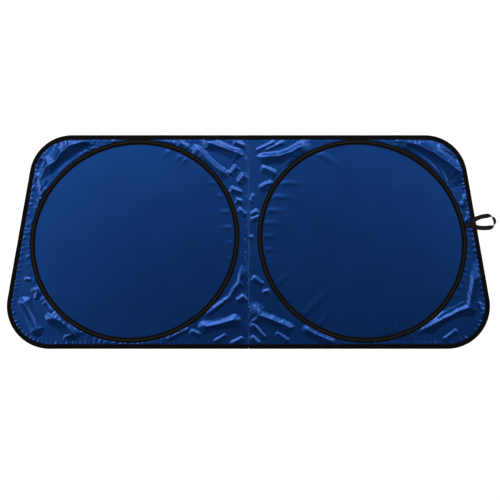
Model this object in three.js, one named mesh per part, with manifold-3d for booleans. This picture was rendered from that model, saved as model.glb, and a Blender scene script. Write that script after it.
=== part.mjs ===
// A pop-up windscreen sunshade, open and lying flat: two halves of coated cloth sewn together down a centre seam,
// a sprung wire hoop in a sewn tape channel on each half, a folded binding round the edge and an elastic loop.
// Millimetres, +Z up. The origin is on the underside of the centre seam at mid-height, +X runs to the strap's side
// and +Y to the narrower top edge. Each half is built on the +X side, and the left half is its mirror image.
import * as THREE from "three";
import { mergeVertices } from "three/addons/utils/BufferGeometryUtils.js";
import Module from "manifold-3d";

const wasm = await Module();
wasm.setup();

// Hoops: each sprung wire's own centre line is an oval, whose long way leans to the seam at the top.
const hoopLong = 644;
const hoopShort = 609;
const hoopTilt = THREE.MathUtils.degToRad(-28); // of its long way, from the X axis
const wireDiameter = 2;
const ferruleWall = 0.4;
const ferruleLength = 24;
const ferruleTurn = 0.79; // where the wire's ends meet, as a share of a turn anticlockwise from the outer side
const wireEndGap = 1;

// The black tape that holds each hoop: sewn flat at both sides, arched over the wire between them.
const tapeWidth = 15;
const tapeThickness = 0.6;
const tapeFoot = 3; // the arch's slope on each side of the wire, on plan

// Cloth left showing between the hoop tape and the seam, the side, the top and the bottom.
const seamWeb = 27.5;
const sideWeb = 22.2;
const topWeb = 0.5;
const bottomWeb = 5.5;
const sideLean = THREE.MathUtils.degToRad(10);
const cornerRadius = 133;
const clothThickness = 0.5;

// The folded binding, the same above and below the cloth, and the turned seam.
const bindingWidth = 13;
const bindingThickness = 1;
const bindingNose = 0.7; // the round of its folded edge
const seamAllowance = 10;

// Loose folds in the slack cloth outside the hoops.
const foldHeight = 4.2;
const foldWidth = 10;
const foldFade = 14; // how far from a sewn line a fold dies away
const foldMargin = 1;
const foldPitch = 15; // the size of the cloth's facets

// The elastic loop, both ends sewn down beside the right hoop's tape.
const strapWidth = 14;
const strapThickness = 1;
const strapTurn = 0.0275; // where it is sewn, as a share of a turn from the hoop's outer side
const strapLean = THREE.MathUtils.degToRad(-2.6); // of the loop, from the hoop's outward direction
const strapReach = 92; // from its sewn ends to the far end of the loop
const strapSeat = 1; // from the tape's edge to the elastic's cut ends
const strapSpread = 37; // across the loop at its widest
const strapRoll = THREE.MathUtils.degToRad(140); // how far the band has rolled over at the far end

// The loop's line from end to end, in shares of its reach and its spread.
const strapPath = [
  [0, 0],
  [0.1, 0.02],
  [0.22, 0.2],
  [0.39, 0.45],
  [0.7, 0.56],
  [0.9, 0.46],
  [1, 0.06],
  [0.94, -0.3],
  [0.83, -0.44],
  [0.64, -0.43],
  [0.45, -0.33],
  [0.26, -0.14],
  [0.1, -0.02],
  [0, 0],
];

// Clearances between pieces that touch on the real shade.
const seatGap = 0.3;
const sleeveGap = 0.2;
const seamGap = 0.5;

// Facets round a hoop, round the wire, over the tape's arch, along each corner and along the elastic.
const hoopSteps = 64;
const wireSides = 6;
const archSteps = 3;
const cornerSteps = 12;
const strapSteps = 56;
const strapFlat = 0.6; // how much of each strand lies flat, as a share of its length

// Heights: the seam's two allowances, or the binding's lower leg, lie under the cloth.
const clothBase = Math.max(2 * clothThickness, bindingThickness);
const clothTop = clothBase + clothThickness;
const wireRadius = wireDiameter / 2;
const ferruleRadius = wireRadius + sleeveGap + ferruleWall;
const wireHeight = clothTop + seatGap + ferruleRadius;
const sleeveBow = ferruleLength ** 2 / (4 * hoopShort); // a straight sleeve's bow inside the curved channel
const tunnelRadius = ferruleRadius + seatGap + sleeveBow;

// Places on plan, from the sizes above.
const hoopHalfWide = hoopReach(0);
const hoopHalfTall = hoopReach(Math.PI / 2);
const hoopCentre = new THREE.Vector2(seamWeb + tapeWidth / 2 + hoopHalfWide, (bottomWeb - topWeb) / 2);
const hoopLine = new THREE.EllipseCurve(
  hoopCentre.x,
  hoopCentre.y,
  hoopLong / 2,
  hoopShort / 2,
  -hoopTilt,
  2 * Math.PI - hoopTilt,
  false,
  hoopTilt,
);
const halfHeight = hoopHalfTall + (tapeWidth + topWeb + bottomWeb) / 2 + bindingWidth;
const sideOut = new THREE.Vector2(Math.cos(sideLean), Math.sin(sideLean));
const sideReach = hoopReach(sideLean) + tapeWidth / 2 + sideWeb + bindingWidth;

// The line of each loose fold in the slack cloth, in hoop radii from the hoop's centre: the top corner by the seam,
// along the seam, the bottom corner by the seam, the outer bottom corner, the outer side and the outer top corner.
const rightFolds = [
  [[-0.6, 0.98], [-0.8, 0.89], [-1.04, 0.84]],
  [[-0.84, 1.01], [-1.06, 0.9]],
  [[-1, 1], [-1.09, 0.95]],
  [[-1.01, 0.75], [-0.81, 0.68]],
  [[-0.85, 0.6], [-1.02, 0.53]],
  [[-1.04, 0.32], [-1.09, 0.26]],
  [[-1.03, -0.41], [-0.91, -0.46]],
  [[-1.08, -0.6], [-1.01, -0.72], [-0.9, -0.8], [-0.66, -0.92], [-0.41, -0.97]],
  [[-0.97, -0.73], [-0.82, -0.78], [-0.62, -0.82]],
  [[-1.09, -0.96], [-0.96, -1.03]],
  [[1.08, -0.12], [1.11, -0.29], [1.11, -0.41], [1.06, -0.61], [0.79, -0.71], [0.56, -0.9]],
  [[0.96, -0.45], [1.08, -0.37]],
  [[1.06, -0.67], [0.86, -0.78], [0.64, -0.88], [0.49, -1]],
  [[0.95, -0.88], [0.75, -1.01]],
  [[1.19, -0.75], [1.12, -0.92]],
  [[1, 0.43], [0.96, 0.34]],
  [[0.37, 1.02], [0.67, 0.92], [0.91, 0.82]],
  [[0.67, 0.89], [0.81, 0.77], [0.94, 0.72], [1.01, 0.56]],
];
const leftFolds = [
  [[-0.64, 1.01], [-0.81, 0.95], [-1.07, 0.91]],
  [[-0.97, 0.91], [-1.09, 0.82]],
  [[-0.64, 0.92], [-0.75, 0.82], [-0.88, 0.69], [-0.91, 0.57]],
  [[-1.01, 0.77], [-0.93, 0.68]],
  [[-1.08, 0.69], [-0.99, 0.58]],
  [[-0.93, 0.53], [-1.07, 0.48]],
  [[-1, 0.34], [-1.09, 0.27]],
  [[-1.07, -0.13], [-1.01, -0.42], [-0.88, -0.6], [-0.6, -0.81]],
  [[-1.05, -0.46], [-0.93, -0.59], [-0.71, -0.72]],
  [[-1.08, -0.52], [-0.98, -0.58]],
  [[-1.09, -0.79], [-0.88, -0.79], [-0.71, -0.86], [-0.65, -0.8]],
  [[-0.92, -0.93], [-0.78, -1.02]],
  [[-0.49, -0.87], [-0.62, -0.95]],
  [[1.15, -0.5], [1.04, -0.83], [0.96, -0.99]],
  [[1.07, -0.56], [0.89, -0.85], [0.84, -1]],
  [[0.89, -0.79], [0.72, -0.81], [0.55, -1]],
  [[1.02, -0.54], [0.92, -0.5]],
  [[1.06, -0.39], [0.98, -0.36]],
  [[0.39, 1.01], [0.71, 0.95], [0.86, 0.77], [0.98, 0.74]],
  [[0.75, 0.86], [0.52, 0.97]],
  [[0.94, 0.65], [0.86, 0.51]],
  [[1.03, 0.63], [0.94, 0.67]],
];

const clothMaterial = new THREE.MeshStandardMaterial({ color: 0x15429c, roughness: 0.35, metalness: 0.35 });
const tapeMaterial = new THREE.MeshStandardMaterial({ color: 0x1b1b1d, roughness: 0.75, metalness: 0 });
const steelMaterial = new THREE.MeshStandardMaterial({ color: 0x9a9da1, roughness: 0.3, metalness: 1 });
const elasticMaterial = new THREE.MeshStandardMaterial({ color: 0x161617, roughness: 0.85, metalness: 0 });

// A closed geometry from points and triangles of their numbers, with its faces turned outwards.
function closedGeometry(points, triangles) {
  const volume = triangles.reduce((sum, [a, b, c]) => {
    return sum + points[a].dot(points[b].clone().cross(points[c]));
  }, 0);
  const index = triangles.flatMap(([a, b, c]) => (volume < 0 ? [a, c, b] : [a, b, c]));
  const geometry = new THREE.BufferGeometry().setFromPoints(points);
  geometry.setIndex(index);
  geometry.computeVertexNormals();
  return geometry;
}

// Joins rings of points, each the same profile at the next station; an open run gets an end cap at each end.
function sweptGeometry(rings, profile, closed) {
  const size = profile.length;
  const triangles = [];
  const runs = closed ? rings.length : rings.length - 1;
  for (let i = 0; i < runs; i++) {
    const here = i * size;
    const next = ((i + 1) % rings.length) * size;
    for (let k = 0; k < size; k++) {
      const k2 = (k + 1) % size;
      triangles.push([here + k, here + k2, next + k2], [here + k, next + k2, next + k]);
    }
  }
  if (!closed) {
    const last = (rings.length - 1) * size;
    const turned = THREE.ShapeUtils.isClockWise(profile);
    for (const face of THREE.ShapeUtils.triangulateShape(profile, [])) {
      const [a, b, c] = turned ? [...face].reverse() : face;
      triangles.push([a, c, b], [last + a, last + b, last + c]);
    }
  }
  return closedGeometry(rings.flat(), triangles);
}

// A profile (out from the line, up) carried to each station (a point on plan and its outward direction).
function ringsOf(stations, profile) {
  return stations.map(({ point, out }) => {
    return profile.map((p) => new THREE.Vector3(point.x + out.x * p.x, point.y + out.y * p.x, p.y));
  });
}

function vectors(pairs) {
  return pairs.map(([x, y]) => new THREE.Vector2(x, y));
}

function circlePoints(radius, sides, from, sweep) {
  return Array.from({ length: sides }, (_, k) => {
    const angle = from + (sweep * k) / (sides - (Math.abs(sweep) < 2 * Math.PI ? 1 : 0));
    return new THREE.Vector2(radius * Math.cos(angle), radius * Math.sin(angle));
  });
}

// How far the wire's line stands out from the hoop's centre in a direction on plan.
function hoopReach(direction) {
  const turned = direction - hoopTilt;
  return Math.hypot((hoopLong / 2) * Math.cos(turned), (hoopShort / 2) * Math.sin(turned));
}

// A point of the hoop's line and its outward direction, at a share of a turn from the outer side.
function hoopStation(turn) {
  const along = hoopLine.getTangent(turn);
  return { point: hoopLine.getPoint(turn), out: new THREE.Vector2(along.y, -along.x) };
}

function hoopLoop(offset) {
  return Array.from({ length: 2 * hoopSteps }, (_, i) => {
    const { point, out } = hoopStation(i / (2 * hoopSteps));
    return point.addScaledVector(out, offset);
  });
}

// The hoop's corners, which its wire and its tape share, so that they stay on one line.
function hoopStations() {
  return Array.from({ length: hoopSteps }, (_, i) => hoopStation(i / hoopSteps));
}

// The facet where the wire's ends meet: its middle, its direction and its outward side.
function wireJoint() {
  const stations = hoopStations();
  const facet = Math.floor(ferruleTurn * hoopSteps);
  const before = stations[facet % hoopSteps].point;
  const after = stations[(facet + 1) % hoopSteps].point;
  const along = after.clone().sub(before).normalize();
  const point = before.clone().lerp(after, 1 / 2);
  return { facet, point, along, out: new THREE.Vector2(along.y, -along.x) };
}

function hoopWire() {
  const profile = circlePoints(wireRadius, wireSides, 0, 2 * Math.PI);
  profile.forEach((p) => p.setY(p.y + wireHeight));
  const { facet, point, along, out } = wireJoint();
  const stations = hoopStations();
  const round = stations.map((_, i) => stations[(facet + 1 + i) % hoopSteps]);
  const first = { point: point.clone().addScaledVector(along, wireEndGap / 2), out };
  const last = { point: point.clone().addScaledVector(along, -wireEndGap / 2), out };
  return sweptGeometry(ringsOf([first, ...round, last], profile), profile, false);
}

// The crimped sleeve over the wire's two ends, as a straight tube.
function hoopFerrule() {
  const ring = new THREE.Shape(circlePoints(ferruleRadius, 2 * wireSides, 0, 2 * Math.PI));
  ring.holes.push(new THREE.Path(circlePoints(wireRadius + sleeveGap, 2 * wireSides, 0, 2 * Math.PI)));
  const tube = new THREE.ExtrudeGeometry(ring, { depth: ferruleLength, bevelEnabled: false });
  const { point, out } = wireJoint();
  tube.translate(0, 0, -ferruleLength / 2);
  tube.rotateX(Math.PI / 2);
  tube.rotateZ(Math.atan2(out.y, out.x));
  tube.translate(point.x, point.y, wireHeight);
  return tube;
}

function hoopTape() {
  const edge = tapeWidth / 2;
  const arch = (radius) => {
    return circlePoints(radius, archSteps + 1, Math.PI, -Math.PI).map((p) => [p.x, p.y + wireHeight]);
  };
  const outerRadius = tunnelRadius + tapeThickness;
  const profile = vectors([
    [-edge, clothTop],
    [-tunnelRadius - tapeFoot / 2, clothTop],
    ...arch(tunnelRadius),
    [tunnelRadius + tapeFoot / 2, clothTop],
    [edge, clothTop],
    [edge, clothTop + tapeThickness],
    [outerRadius + tapeFoot / 2, clothTop + tapeThickness],
    ...arch(outerRadius).reverse(),
    [-outerRadius - tapeFoot / 2, clothTop + tapeThickness],
    [-edge, clothTop + tapeThickness],
  ]);
  return sweptGeometry(ringsOf(hoopStations(), profile), profile, true);
}

// The half's edge from the seam at the top round to the seam at the bottom, drawn in by inset.
function edgeCurves(inset, seamX) {
  const cornerAt = (y) => {
    const across = (sideReach - cornerRadius - sideOut.y * (y - hoopCentre.y)) / sideOut.x;
    return new THREE.Vector2(hoopCentre.x + across, y);
  };
  const upper = cornerAt(halfHeight - cornerRadius);
  const lower = cornerAt(cornerRadius - halfHeight);
  const radius = cornerRadius - inset;
  const top = halfHeight - inset;
  return [
    new THREE.LineCurve(new THREE.Vector2(seamX, top), new THREE.Vector2(upper.x, top)),
    new THREE.EllipseCurve(upper.x, upper.y, radius, radius, Math.PI / 2, sideLean, true),
    new THREE.LineCurve(
      upper.clone().addScaledVector(sideOut, radius),
      lower.clone().addScaledVector(sideOut, radius),
    ),
    new THREE.EllipseCurve(lower.x, lower.y, radius, radius, sideLean, -Math.PI / 2, true),
    new THREE.LineCurve(new THREE.Vector2(lower.x, -top), new THREE.Vector2(seamX, -top)),
  ];
}

// Points along that edge and up the seam, about a pitch apart.
function edgePoints(inset, seamX, pitch) {
  const curves = edgeCurves(inset, seamX);
  const start = curves[0].getPoint(0);
  const end = curves[curves.length - 1].getPoint(1);
  return [...curves, new THREE.LineCurve(end, start)].flatMap((curve) => {
    const least = curve.isEllipseCurve ? cornerSteps : 1;
    const steps = Math.max(least, Math.round(curve.getLength() / pitch));
    return Array.from({ length: steps }, (_, i) => curve.getPoint(i / steps));
  });
}

// One tape round the whole edge, from the foot of the seam up the left side and down the right one.
function edgeBinding() {
  const slot = bindingThickness; // from the folded edge in to where the cloth can reach
  const lower = clothBase - bindingThickness;
  const upper = clothTop + bindingThickness;
  const profile = vectors([
    [-bindingWidth, lower],
    [-bindingNose, lower],
    [0, lower + bindingNose],
    [0, upper - bindingNose],
    [-bindingNose, upper],
    [-bindingWidth, upper],
    [-bindingWidth, clothTop],
    [-slot, clothTop],
    [-slot, clothBase],
    [-bindingWidth, clothBase],
  ]);
  const rightSide = edgeCurves(0, seamGap / 2).flatMap((curve) => {
    const steps = curve.isEllipseCurve ? cornerSteps : 1;
    return Array.from({ length: curve.isEllipseCurve ? steps - 1 : 2 }, (_, i) => {
      const share = curve.isEllipseCurve ? (i + 1) / steps : i;
      const along = curve.getTangent(share);
      return { point: curve.getPoint(share), out: new THREE.Vector2(-along.y, along.x) };
    });
  });
  const leftSide = rightSide.map(({ point, out }) => {
    return { point: new THREE.Vector2(-point.x, point.y), out: new THREE.Vector2(-out.x, out.y) };
  });
  return sweptGeometry(ringsOf([...leftSide.reverse(), ...rightSide], profile), profile, false);
}

// How far the loop of points lies from the hoop's centre, in a direction.
function reach(loop, direction) {
  let far = Infinity;
  loop.forEach((a, i) => {
    const side = loop[(i + 1) % loop.length].clone().sub(a);
    const from = a.clone().sub(hoopCentre);
    const turn = direction.cross(side);
    const share = from.cross(direction) / turn;
    const distance = from.cross(side) / turn;
    if (share >= -1e-9 && share <= 1 + 1e-9 && distance > 0) far = Math.min(far, distance);
  });
  return far;
}

// The height of the loose cloth at a point from the hoop's centre: the nearest fold's rounded ridge.
function foldAt(folds, x, y) {
  const point = new THREE.Vector3(x, y, 0);
  const nearest = new THREE.Vector3();
  let away = Infinity;
  for (const fold of folds) {
    const places = fold.map(([across, up]) => new THREE.Vector3(across * hoopHalfWide, up * hoopHalfTall, 0));
    for (let i = 1; i < places.length; i++) {
      const line = new THREE.Line3(places[i - 1], places[i]);
      line.closestPointToPoint(point, true, nearest);
      away = Math.min(away, nearest.distanceTo(point));
    }
  }
  return foldHeight * Math.exp(-((away / foldWidth) ** 2));
}

// Triangles between two neighbouring columns of points, which needn't hold as many.
function stitched(a, b) {
  const triangles = [];
  let i = 0;
  let j = 0;
  while (i < a.length - 1 || j < b.length - 1) {
    const onA = j === b.length - 1 || (i < a.length - 1 && (i + 1) * (b.length - 1) <= (j + 1) * (a.length - 1));
    triangles.push(onA ? [a[i], a[i + 1], b[j]] : [a[i], b[j + 1], b[j]]);
    if (onA) i++;
    else j++;
  }
  return triangles;
}

// One half of the cloth as a thin sheet: flat in the hoop, under its tape and in the binding, loose between them.
function clothSheet(folds, flatAtSeam) {
  const inBinding = bindingThickness + seatGap + foldMargin / 2;
  const rim = edgePoints(inBinding, seamGap / 2, foldPitch);
  const hoopEdge = hoopLoop(tapeWidth / 2 + foldMargin);
  const bound = edgePoints(bindingWidth + foldMargin, flatAtSeam + foldMargin, foldPitch);
  const plan = [new THREE.Vector3(hoopCentre.x, hoopCentre.y, 0)];
  const columns = rim.map((rimPoint) => {
    const direction = rimPoint.clone().sub(hoopCentre);
    const whole = direction.length();
    direction.normalize();
    let from = reach(hoopEdge, direction);
    let to = reach(bound, direction);
    if (to - from < foldPitch / 2) {
      const middle = (from + to) / 2;
      from = middle - foldMargin / 4;
      to = middle + foldMargin / 4;
    }
    const steps = Math.max(1, Math.round((to - from) / foldPitch));
    const column = [];
    for (let i = 0; i <= steps; i++) {
      const at = from + ((to - from) * i) / steps;
      const fade = THREE.MathUtils.smoothstep(Math.min(at - from, to - at), 0, foldFade);
      const place = direction.clone().multiplyScalar(at);
      column.push(plan.length);
      plan.push(new THREE.Vector3(hoopCentre.x + place.x, hoopCentre.y + place.y, fade * foldAt(folds, place.x, place.y)));
    }
    const outer = plan.length;
    plan.push(new THREE.Vector3(hoopCentre.x + direction.x * whole, hoopCentre.y + direction.y * whole, 0));
    return { column, outer };
  });
  const upper = columns.flatMap((here, i) => {
    const next = columns[(i + 1) % columns.length];
    const last = here.column[here.column.length - 1];
    const nextLast = next.column[next.column.length - 1];
    return [
      [0, here.column[0], next.column[0]],
      ...stitched(here.column, next.column),
      [last, here.outer, next.outer],
      [last, next.outer, nextLast],
    ];
  });
  const count = plan.length;
  const lower = upper.map(([a, b, c]) => [a + count, c + count, b + count]);
  const wall = columns.flatMap(({ outer }, i) => {
    const next = columns[(i + 1) % columns.length].outer;
    return [
      [outer, outer + count, next + count],
      [outer, next + count, next],
    ];
  });
  const raised = (base) => plan.map((p) => new THREE.Vector3(p.x, p.y, p.z + base));
  return closedGeometry([...raised(clothTop), ...raised(clothBase)], [...upper, ...lower, ...wall]);
}

// The seam's turned edge: a section (across, up) run from binding to binding.
function seamStrip(outline) {
  const length = 2 * (halfHeight - bindingWidth - seatGap);
  const strip = new THREE.ExtrudeGeometry(new THREE.Shape(vectors(outline)), {
    depth: length,
    bevelEnabled: false,
  });
  strip.rotateX(Math.PI / 2);
  strip.translate(0, length / 2, 0);
  return strip;
}

function solidOf(geometry) {
  const bare = new THREE.BufferGeometry();
  bare.setAttribute("position", geometry.getAttribute("position"));
  bare.setIndex(geometry.index);
  const merged = mergeVertices(bare, 1e-4);
  const vertProperties = new Float32Array(merged.attributes.position.array);
  return new wasm.Manifold(
    new wasm.Mesh({ numProp: 3, vertProperties, triVerts: new Uint32Array(merged.index.array) }),
  );
}

function joined(first, second) {
  const mesh = solidOf(first).add(solidOf(second)).getMesh();
  const geometry = new THREE.BufferGeometry();
  geometry.setAttribute("position", new THREE.BufferAttribute(mesh.vertProperties, 3));
  geometry.setIndex(new THREE.BufferAttribute(mesh.triVerts, 1));
  geometry.computeVertexNormals();
  return geometry;
}

// The right half's edge is turned back on itself under the seam.
function rightPanel() {
  const near = seamGap / 2;
  const far = near + seamAllowance;
  const hem = seamStrip([
    [near, clothBase - clothThickness],
    [far, clothBase - clothThickness],
    [far, clothTop],
    [near, clothTop],
  ]);
  return joined(clothSheet(rightFolds, far), hem);
}

// The left half's edge steps down and runs on under the right half's hem; here +X is the left half's own side.
function leftPanel() {
  const near = seamGap / 2;
  const foot = clothBase - clothThickness;
  const tongue = seamStrip([
    [near + clothThickness, clothTop],
    [near + clothThickness, foot - clothThickness],
    [-near - seamAllowance, foot - clothThickness],
    [-near - seamAllowance, foot],
    [near, foot],
    [near, clothTop],
  ]);
  return joined(clothSheet(leftFolds, near + clothThickness), tongue);
}

// How high the band's lower edge runs, at a distance out from its stitches: on the cloth, over the binding and down.
function strapFooting(distance) {
  const onCloth = clothTop + seatGap;
  const overBinding = clothTop + bindingThickness + seatGap;
  const climb = THREE.MathUtils.smoothstep(distance, sideWeb / 2, sideWeb - seatGap);
  const past = sideWeb + bindingWidth;
  const drop = THREE.MathUtils.smoothstep(distance, past + strapThickness, past + strapWidth);
  return (onCloth + (overBinding - onCloth) * climb) * (1 - drop);
}

// The elastic band: its ends are sewn one on the other, and it rolls over as it turns at the loop's far end.
function strapLoop() {
  const { point, out } = hoopStation(strapTurn);
  const root = point.clone().addScaledVector(out, tapeWidth / 2 + strapSeat);
  const places = strapPath.map(([far, side]) => new THREE.Vector3(far * strapReach, side * strapSpread, 0));
  const line = new THREE.CatmullRomCurve3(places, false, "centripetal");
  const up = new THREE.Vector3(0, 0, 1);
  const profile = vectors([
    [-strapWidth / 2, -strapThickness / 2],
    [strapWidth / 2, -strapThickness / 2],
    [strapWidth / 2, strapThickness / 2],
    [-strapWidth / 2, strapThickness / 2],
  ]);
  const rings = Array.from({ length: strapSteps + 1 }, (_, i) => {
    const share = i / strapSteps;
    const middle = line.getPointAt(share);
    const along = line.getTangentAt(share);
    const level = up.clone().cross(along);
    const roll = strapRoll * THREE.MathUtils.smootherstep(1 - Math.abs(2 * share - 1), strapFlat, 1);
    const onTop = share < 1 / 2 ? 1 - THREE.MathUtils.smoothstep(middle.x, sideWeb, sideWeb + bindingWidth) : 0;
    const half = (strapWidth * Math.sin(roll) + strapThickness * Math.abs(Math.cos(roll))) / 2;
    middle.z = strapFooting(middle.x) + half + onTop * (strapThickness + seatGap);
    const across = level.clone().multiplyScalar(Math.cos(roll)).addScaledVector(up, Math.sin(roll));
    const face = along.clone().cross(across);
    return profile.map((p) => middle.clone().addScaledVector(across, p.x).addScaledVector(face, p.y));
  });
  const loop = sweptGeometry(rings, profile, false);
  loop.rotateZ(out.angle() + strapLean);
  loop.translate(root.x, root.y, 0);
  return loop;
}

function piece(name, geometry, material) {
  const mesh = new THREE.Mesh(geometry, material);
  mesh.name = name;
  return mesh;
}

// What both halves have alike.
function halfOf(side, panel) {
  const half = new THREE.Group();
  half.add(
    piece(side + "_panel", panel, clothMaterial),
    piece(side + "_hoop_tape", hoopTape(), tapeMaterial),
    piece(side + "_hoop_wire", hoopWire(), steelMaterial),
    piece(side + "_hoop_ferrule", hoopFerrule(), steelMaterial),
  );
  return half;
}

const sunshade = new THREE.Group();
const leftHalf = halfOf("left", leftPanel());
leftHalf.scale.x = -1;
sunshade.add(
  leftHalf,
  halfOf("right", rightPanel()),
  piece("edge_binding", edgeBinding(), tapeMaterial),
  piece("strap_loop", strapLoop(), elasticMaterial),
);

export default sunshade;
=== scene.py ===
"""The open windscreen sunshade with its final look: folded cloth, sewn tapes, elastic and thread.

Everything is in metres, in the part's own frame: +X to the side with the elastic loop, +Y to the narrower top
edge and +Z up, out of the face with the hoop tapes. The shade lies on the floor, seen straight from above.
"""

import logging
import math
from dataclasses import dataclass, field
from enum import Enum
from typing import Callable

import bpy
import numpy as np
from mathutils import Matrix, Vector
from mathutils.geometry import delaunay_2d_cdt


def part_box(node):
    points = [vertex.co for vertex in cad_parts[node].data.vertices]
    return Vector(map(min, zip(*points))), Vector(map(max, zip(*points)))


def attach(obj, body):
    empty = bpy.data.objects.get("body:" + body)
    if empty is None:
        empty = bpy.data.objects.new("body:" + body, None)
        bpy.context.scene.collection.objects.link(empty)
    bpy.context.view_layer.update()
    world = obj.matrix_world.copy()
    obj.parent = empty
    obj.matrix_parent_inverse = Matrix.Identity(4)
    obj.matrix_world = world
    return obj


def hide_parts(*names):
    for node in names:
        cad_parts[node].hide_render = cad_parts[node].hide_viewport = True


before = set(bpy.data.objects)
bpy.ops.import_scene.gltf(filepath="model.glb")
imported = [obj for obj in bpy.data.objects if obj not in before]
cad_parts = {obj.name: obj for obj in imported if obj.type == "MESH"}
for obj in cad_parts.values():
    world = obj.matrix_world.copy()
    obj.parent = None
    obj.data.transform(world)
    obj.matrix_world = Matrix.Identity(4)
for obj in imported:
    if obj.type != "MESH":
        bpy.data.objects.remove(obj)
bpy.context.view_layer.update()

LOG = logging.getLogger("sunshade")
MM = 0.001
TURN = 2 * math.pi
HOOP_STEPS = 360

# How the cloth is cut into triangles: only inside its outline, and how near two points are one.
KEEP_INSIDE = 1
SNAP = 1e-7

# The side of each fold that the lamp lights, and how a fold's crest and ends are rounded off.
LIT_SIDE = np.array([-0.6, 0.8])
CREST_ROUND = 2 * MM
END_FADE = 0.22
PUCKER_HOLDS = 0.25


class Side(Enum):
    """The half of the shade, as the sign of its X."""

    LEFT = -1
    RIGHT = 1

    @property
    def word(self) -> str:
        """The half's name in its nodes."""
        return self.name.lower()


@dataclass(frozen=True)
class Layout:
    """Where the sewn lines run on plan, for a half built on the +X side.

    The hoop's place and the edge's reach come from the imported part, and the rest are its own named sizes.
    """

    tape_width: float = 15 * MM
    binding_width: float = 13 * MM
    binding_thickness: float = 1 * MM
    side_web: float = 22.2 * MM
    corner_radius: float = 133 * MM
    side_lean: float = math.radians(10)
    cloth_top: float = 1.5 * MM
    tape_thickness: float = 0.6 * MM
    hoop_tilt: float = math.radians(-28)

    @property
    def hoop_centre(self) -> np.ndarray:
        """The middle of the hoop."""
        low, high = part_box("right_hoop_tape")
        return np.array([(low.x + high.x) / 2, (low.y + high.y) / 2])

    @property
    def hoop_radii(self) -> np.ndarray:
        """The size of the hoop wire's tilted oval, from its tape's box.

        Returns:
            Half its long way and half its short way.
        """
        low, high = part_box("right_hoop_tape")
        wide, tall = (np.array([high.x - low.x, high.y - low.y]) / 2 - self.tape_width / 2) ** 2
        along, aside = math.cos(self.hoop_tilt) ** 2, math.sin(self.hoop_tilt) ** 2
        squares = np.array([wide * along - tall * aside, tall * along - wide * aside]) / (along - aside)
        return np.sqrt(squares)

    @property
    def half_height(self) -> float:
        """From the seam's middle to the outer edge of the binding at the top."""
        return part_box("edge_binding")[1].y

    def hoop(self, turn: np.ndarray, offset: float) -> tuple[np.ndarray, np.ndarray]:
        """Points beside the hoop's line.

        Args:
            turn: Angles round the hoop, in radians from the outer side.
            offset: How far outside the wire's line.

        Returns:
            The points and their outward directions.
        """
        a, b = self.hoop_radii
        own = turn - self.hoop_tilt
        line = self.tilted(np.stack([a * np.cos(own), b * np.sin(own)], axis=1))
        out = self.tilted(np.stack([b * np.cos(own), a * np.sin(own)], axis=1))
        out /= np.linalg.norm(out, axis=1, keepdims=True)
        return line + self.hoop_centre + out * offset, out

    def tilted(self, points: np.ndarray) -> np.ndarray:
        """Turns points of the hoop's own oval as the hoop is tilted."""
        c, s = math.cos(self.hoop_tilt), math.sin(self.hoop_tilt)
        return points @ np.array([(c, s), (-s, c)])

    def edge(self, inset: float, pitch: float) -> tuple[np.ndarray, np.ndarray]:
        """The half's edge from the top of the seam round to its foot.

        Args:
            inset: How far inside the binding's outer edge.
            pitch: The spacing of the points.

        Returns:
            The points and their outward directions.
        """
        lean = self.side_lean
        side = np.array([math.cos(lean), math.sin(lean)])
        a, b = self.hoop_radii
        centre = self.hoop_centre
        reach = math.hypot(a * math.cos(lean - self.hoop_tilt), b * math.sin(lean - self.hoop_tilt))
        reach += self.tape_width / 2 + self.side_web + self.binding_width
        level = self.half_height - self.corner_radius
        middles = [
            np.array([centre[0] + (reach - self.corner_radius - side[1] * (y - centre[1])) / side[0], y])
            for y in (level, -level)
        ]
        radius = self.corner_radius - inset
        top = self.half_height - inset
        points: list[np.ndarray] = []
        outs: list[np.ndarray] = []

        def straight(start: np.ndarray, end: np.ndarray, out: np.ndarray) -> None:
            """Adds a straight run, without its last point.

            Args:
                start: Where the run starts.
                end: Where it ends.
                out: Its outward direction.
            """
            steps = max(1, round(float(np.linalg.norm(end - start)) / pitch))
            for i in range(steps):
                points.append(start + (end - start) * i / steps)
                outs.append(out)

        def corner(middle: np.ndarray, start: float, end: float) -> None:
            """Adds a corner's arc, without its last point.

            Args:
                middle: The arc's middle.
                start: The outward angle where it starts.
                end: The outward angle where it ends.
            """
            steps = max(1, round(abs(end - start) * self.corner_radius / pitch))
            for i in range(steps):
                angle = start + (end - start) * i / steps
                out = np.array([math.cos(angle), math.sin(angle)])
                points.append(middle + out * radius)
                outs.append(out)

        up = np.array([0.0, 1.0])
        straight(np.array([0.0, top]), np.array([middles[0][0], top]), up)
        corner(middles[0], math.pi / 2, lean)
        straight(middles[0] + side * radius, middles[1] + side * radius, side)
        corner(middles[1], lean, -math.pi / 2)
        straight(np.array([middles[1][0], -top]), np.array([0.0, -top]), -up)
        points.append(np.array([0.0, -top]))
        outs.append(-up)
        return np.array(points), np.array(outs)


LAYOUT = Layout()


def smooth(value: np.ndarray, low: float, high: float) -> np.ndarray:
    """A smooth step from 0 at low to 1 at high."""
    share = np.clip((value - low) / (high - low), 0, 1)
    return share * share * (3 - 2 * share)


def inside(points: np.ndarray, loop: np.ndarray) -> np.ndarray:
    """Finds the points inside a closed loop on plan, by how often the loop crosses their row.

    Args:
        points: The points.
        loop: The loop's corners.

    Returns:
        Whether each point lies inside.
    """
    found = np.zeros(len(points), bool)
    for a, b in zip(loop, np.roll(loop, -1, axis=0)):
        crosses = (a[1] > points[:, 1]) != (b[1] > points[:, 1])
        if a[1] != b[1]:
            at = a[0] + (points[:, 1] - a[1]) * (b[0] - a[0]) / (b[1] - a[1])
            found ^= crosses & (points[:, 0] < at)
    return found


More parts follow.
